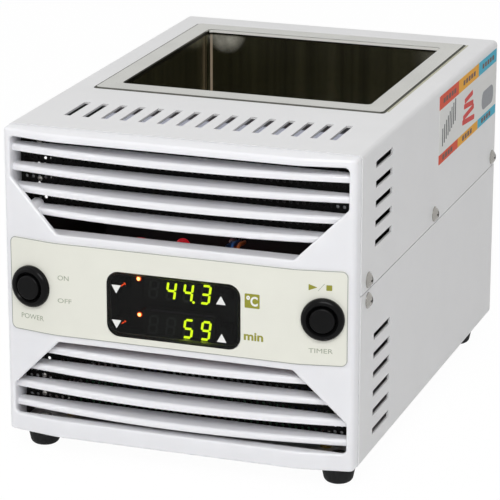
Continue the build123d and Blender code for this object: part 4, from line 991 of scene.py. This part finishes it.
def start_stop_signs():
    """Arrow, bar and square above the timer switch."""
    arrow = triangle("sign_arrow", 0, -FOOT, 0.0032, 0.0042, True)
    arrow.rotation_euler = (0, math.pi / 2, 0)
    arrow.location = (0.0717, 0, 0.0955 + FOOT)
    settle(arrow)
    bar = plate("sign_bar", (-0.00012, -INK, -0.0024), (0.00012, INK, 0.0024))
    bar.rotation_euler = (0, math.radians(40), 0)
    bar.location = (0.0757, 0, 0.0956 + FOOT)
    settle(bar)
    square = plate("sign_square", (0.0781, -INK, 0.0941 + FOOT), (0.0809, INK, 0.0969 + FOOT))
    return {"sign_arrow": arrow, "sign_bar": bar, "sign_square": square}


def edge_line(name, middle, size, tilt, corner, width, rise, bends=()):
    """Closed thin line along a rectangle with rounded corners, raised from its plane."""
    start_clean()
    bpy.ops.mesh.primitive_plane_add(size=1, rotation=(tilt, 0, 0))
    line = bpy.context.object
    line.name = name
    line.scale = (*size, 1)
    line.location = middle
    settle(line)
    edit(line)
    bpy.ops.mesh.bevel(
        offset=corner[0], offset_type="OFFSET", segments=corner[1], affect="VERTICES"
    )
    bpy.ops.mesh.select_all(action="SELECT")
    bpy.ops.mesh.inset(thickness=width)
    bpy.ops.mesh.delete(type="FACE")
    for x in bends:
        bpy.ops.mesh.select_all(action="SELECT")
        bpy.ops.mesh.bisect(plane_co=(x, 0, 0), plane_no=(1, 0, 0))
    bpy.ops.mesh.select_all(action="SELECT")
    bpy.ops.mesh.extrude_region_move(TRANSFORM_OT_translate={"value": rise})
    done()
    outwards(line)
    return line


def label_edge_shade_line():
    """Thin grey line of painted shade along the label's edge, cut where the panel bends."""
    low, high = LABEL_BOX
    return edge_line(
        "label_edge_shade_line", (0, 0, (low[2] + high[2]) / 2), (high[0] - low[0], high[2] - low[2]),
        math.pi / 2, (0.003, 5), 0.00035, (0, -INK, 0),
        [side * x for x in (0.060, 0.0615, 0.063, 0.0645, 0.066, 0.068) for side in (-1, 1)],
    )


def rounded_stud(name, x, z, back, radius, length):
    """Short round stud that stands forward from a depth, its front edge rounded."""
    start_clean()
    bpy.ops.mesh.primitive_cylinder_add(
        vertices=24, radius=radius, depth=length, location=(x, back - length / 2, z),
        rotation=(math.pi / 2, 0, 0),
    )
    stud = bpy.context.object
    stud.name = name
    settle(stud)
    edit(stud)
    choose(lambda place: place.y < back - length * 0.5)
    bpy.ops.mesh.bevel(offset=min(radius, length) * 0.8, segments=4)
    done()
    outwards(stud)
    bpy.ops.object.shade_smooth_by_angle(angle=math.radians(40))
    return stud


def segment(face, length, upright):
    """Six-sided bar of a display digit, lying round the middle of the panel."""
    wide = settings("panel_look").segment_width
    start_clean()
    bpy.ops.mesh.primitive_cylinder_add(
        vertices=6, radius=wide / 2 / math.cos(math.pi / 6), depth=0.0002,
        rotation=(math.pi / 2, 0, 0),
    )
    bar = bpy.context.object
    settle(bar)
    stretch = (length - wide) / 2
    tall = max(corner.co.x for corner in bar.data.vertices) < wide * 0.55
    edit(bar)
    for side in (-1, 1):
        choose(lambda place: side * (place.z if tall else place.x) > 1e-6)
        move = (0, 0, side * stretch) if tall else (side * stretch, 0, 0)
        bpy.ops.transform.translate(value=move)
    done()
    if tall != upright:
        bar.rotation_euler = (0, math.pi / 2, 0)
    bar.location = (0, face - 0.0001, 0)
    settle(bar)
    return bar


def digit(name, shown, x, z, bars):
    """Lit and dark bars of one slanted digit, copied from the upright and the lying bar."""
    look = settings("panel_look")
    wide = look.digit_width / 2
    tall = (look.digit_height - look.segment_width) / 2
    places = {
        "a": (0, tall, False), "g": (0, 0, False), "d": (0, -tall, False),
        "f": (-wide, tall / 2, True), "b": (wide, tall / 2, True),
        "e": (-wide, -tall / 2, True), "c": (wide, -tall / 2, True),
    }
    groups = {True: [], False: []}
    for key, (across, rise, upright) in places.items():
        groups[key in SEGMENTS[shown]].append(copied(bars[upright], (x + across, 0, z + rise)))
    made = {}
    for kind, group in (("lit", groups[True]), ("dark", groups[False])):
        if group:
            made[kind] = joined(f"{name}_{kind}", group)
            for corner in made[kind].data.vertices:
                corner.co.x += (corner.co.z - z) * math.tan(look.digit_slant)
    return made


def perforated(name, low, high):
    """Thin upright sheet with rows of round holes and a plain border."""
    look = settings("guard_look")
    pitch = look.pitch
    columns = int((high[0] - low[0] - pitch / 2) // pitch)
    rows = int((high[2] - low[2] - pitch / 4) // pitch)
    left = -columns * pitch / 2 + pitch / 2
    bottom = (low[2] + high[2]) / 2 - (rows - 1) * pitch / 2
    start_clean()
    bpy.ops.mesh.primitive_circle_add(
        vertices=12, radius=look.hole, rotation=(math.pi / 2, 0, 0)
    )
    sheet = bpy.context.object
    sheet.name = name
    settle(sheet)
    edit(sheet)
    bpy.ops.transform.rotate(value=math.radians(15), orient_axis="Y", center_override=(0, 0, 0))
    bpy.ops.mesh.extrude_edges_move()
    shape = bmesh.from_edit_mesh(sheet.data)
    for corner in shape.verts:
        if corner.select:
            scale = pitch / 2 / max(abs(corner.co.x), abs(corner.co.z))
            corner.co.x *= scale
            corner.co.z *= scale
    bmesh.update_edit_mesh(sheet.data)
    done()
    sheet.location = (left, low[1], bottom)
    settle(sheet)
    for count, step in ((columns, (pitch, 0, 0)), (rows, (0, 0, pitch))):
        copies = sheet.modifiers.new("copies", "ARRAY")
        copies.count = count
        copies.use_relative_offset = False
        copies.use_constant_offset = True
        copies.constant_offset_displace = step
        copies.use_merge_vertices = True
        copies.merge_threshold = 1e-6
        bpy.ops.object.modifier_apply(modifier=copies.name)
    edit(sheet)
    edges = (
        (0, left - pitch / 2, low[0]), (0, left + (columns - 0.5) * pitch, high[0]),
        (2, bottom - pitch / 2, low[2]), (2, bottom + (rows - 0.5) * pitch, high[2]),
    )
    for axis, here, there in edges:
        choose(lambda place: abs(place[axis] - here) < 1e-6)
        move = [there - here if index == axis else 0 for index in range(3)]
        bpy.ops.mesh.extrude_edges_move(TRANSFORM_OT_translate={"value": move})
    bpy.ops.mesh.select_all(action="SELECT")
    bpy.ops.mesh.remove_doubles(threshold=1e-6)
    bpy.ops.mesh.normals_make_consistent(inside=False)
    done()
    wall = sheet.modifiers.new("wall", "SOLIDIFY")
    wall.thickness = high[1] - low[1]
    wall.offset = 0
    bpy.ops.object.modifier_apply(modifier=wall.name)
    middle = sum(corner.co.y for corner in sheet.data.vertices) / len(sheet.data.vertices)
    for corner in sheet.data.vertices:
        corner.co.y += (low[1] + high[1]) / 2 - middle
    outwards(sheet)
    return sheet


def rim_gasket_and_gap_shade():
    """Thin dark bead that seals the rim against the cover; its dark colour also stands for the shade
    in the gap round the rim.
    """
    low, high = RIM_BOX
    width = settings("case_look").gasket
    return edge_line(
        "rim_gasket_and_gap_shade", ((low[0] + high[0]) / 2, (low[1] + high[1]) / 2, COVER_BOX[1][2]),
        (high[0] - low[0] + 2 * width, high[1] - low[1] + 2 * width),
        0, (0.002, 4), width, (0, 0, 0.00015),
    )


def background_switch(nodes, links):
    """1 for rays that should see the plain background: camera, mirror and glass rays."""
    path = nodes.new("ShaderNodeLightPath")
    first = nodes.new("ShaderNodeMath")
    first.operation = "MAXIMUM"
    links.new(path.outputs["Is Camera Ray"], first.inputs[0])
    links.new(path.outputs["Is Glossy Ray"], first.inputs[1])
    second = nodes.new("ShaderNodeMath")
    second.operation = "MAXIMUM"
    links.new(first.outputs[0], second.inputs[0])
    links.new(path.outputs["Is Transmission Ray"], second.inputs[1])
    return second.outputs[0]


def make_floor():
    """Large pale floor on which the instrument stands."""
    start_clean()
    bpy.ops.mesh.primitive_plane_add(size=6.0, location=(0, 0, 0))
    floor = bpy.context.object
    floor.name = "floor"
    material = bpy.data.materials.new("pale_floor")
    material.use_nodes = True
    nodes = material.node_tree.nodes
    links = material.node_tree.links
    shader = nodes["Principled BSDF"]
    shader.inputs["Base Color"].default_value = (0.9, 0.9, 0.9, 1)
    shader.inputs["Roughness"].default_value = 0.9
    plain = nodes.new("ShaderNodeEmission")
    plain.inputs["Strength"].default_value = FLOOR_LEVEL
    share = nodes.new("ShaderNodeMath")
    share.operation = "MULTIPLY"
    share.inputs[1].default_value = FLOOR_SHARE
    links.new(background_switch(nodes, links), share.inputs[0])
    mix = nodes.new("ShaderNodeMixShader")
    links.new(share.outputs[0], mix.inputs[0])
    links.new(shader.outputs[0], mix.inputs[1])
    links.new(plain.outputs[0], mix.inputs[2])
    links.new(mix.outputs[0], nodes["Material Output"].inputs["Surface"])
    floor.data.materials.append(material)


def make_world(scene):
    """White surround with a lower level for the light that it gives."""
    world = bpy.data.worlds.new("surround")
    scene.world = world
    world.use_nodes = True
    nodes = world.node_tree.nodes
    links = world.node_tree.links
    background = nodes["Background"]
    background.inputs["Color"].default_value = (1, 1, 1, 1)
    level = nodes.new("ShaderNodeMapRange")
    level.inputs["To Min"].default_value = WORLD_LIGHT
    level.inputs["To Max"].default_value = 1.0
    links.new(background_switch(nodes, links), level.inputs["Value"])
    links.new(level.outputs["Result"], background.inputs["Strength"])


def area_light(name, place, aim, size, power):
    """One soft lamp that points at a place."""
    data = bpy.data.lights.new(name, "AREA")
    data.shape = "RECTANGLE"
    data.size = size[0]
    data.size_y = size[1]
    data.energy = power
    lamp = bpy.data.objects.new(name, data)
    bpy.context.scene.collection.objects.link(lamp)
    lamp.location = place
    lamp.rotation_euler = (Vector(aim) - Vector(place)).to_track_quat("-Z", "Y").to_euler()


def make_lights():
    """Soft lamps: a high one in front on the right, a weak one on the left and one above."""
    for name, lamp in LAMPS_ABOUT.items():
        area_light(name, *lamp)


def make_camera(scene):
    """Camera at the photograph's viewing angle."""
    data = bpy.data.cameras.new("camera")
    camera = bpy.data.objects.new("camera", data)
    scene.collection.objects.link(camera)
    data.sensor_width = 36
    data.lens = CAMERA_LENS
    azimuth = math.radians(CAMERA_AZIMUTH)
    elevation = math.radians(CAMERA_ELEVATION)
    level = math.cos(elevation)
    forward = Vector((-math.sin(azimuth) * level, math.cos(azimuth) * level, -math.sin(elevation)))
    camera.location = CAMERA_PLACE
    roll = Matrix.Rotation(math.radians(CAMERA_ROLL), 4, "Z").to_quaternion()
    turn = forward.to_track_quat("-Z", "Y") @ roll
    camera.rotation_mode = "QUATERNION"
    camera.rotation_quaternion = turn
    data.clip_start = 0.05
    data.clip_end = 20
    scene.camera = camera


class DRYBATH_PT_panel(Panel):
    """Lists the making steps in the sidebar"""

    bl_label = "Dry bath incubator"
    bl_idname = "DRYBATH_PT_panel"
    bl_space_type = "VIEW_3D"
    bl_region_type = "UI"
    bl_category = "Dry bath"

    def draw(self, context):
        for step in STEPS:
            self.layout.operator(step.bl_idname)


STEPS = (
    DRYBATH_OT_stage, DRYBATH_OT_case, DRYBATH_OT_well, DRYBATH_OT_electronics, DRYBATH_OT_controls,
    DRYBATH_OT_guards, DRYBATH_OT_marks, DRYBATH_OT_display, DRYBATH_OT_sticker,
)
GROUPS = {"case_look": CaseSettings, "panel_look": PanelSettings, "guard_look": GuardSettings}


def register():
    """Adds the settings, the operators and the panel."""
    for group in GROUPS.values():
        bpy.utils.register_class(group)
    for name, group in GROUPS.items():
        setattr(bpy.types.Scene, name, PointerProperty(type=group))
    for step in STEPS:
        bpy.utils.register_class(step)
    bpy.utils.register_class(DRYBATH_PT_panel)


def unregister():
    """Removes what register added."""
    bpy.utils.unregister_class(DRYBATH_PT_panel)
    for step in reversed(STEPS):
        bpy.utils.unregister_class(step)
    for name, group in GROUPS.items():
        delattr(bpy.types.Scene, name)
        bpy.utils.unregister_class(group)


def main():
    """Runs every step."""
    register()
    for step in STEPS:
        group, name = step.bl_idname.split(".")
        getattr(getattr(bpy.ops, group), name)()


if __name__ == "__main__":
    main()
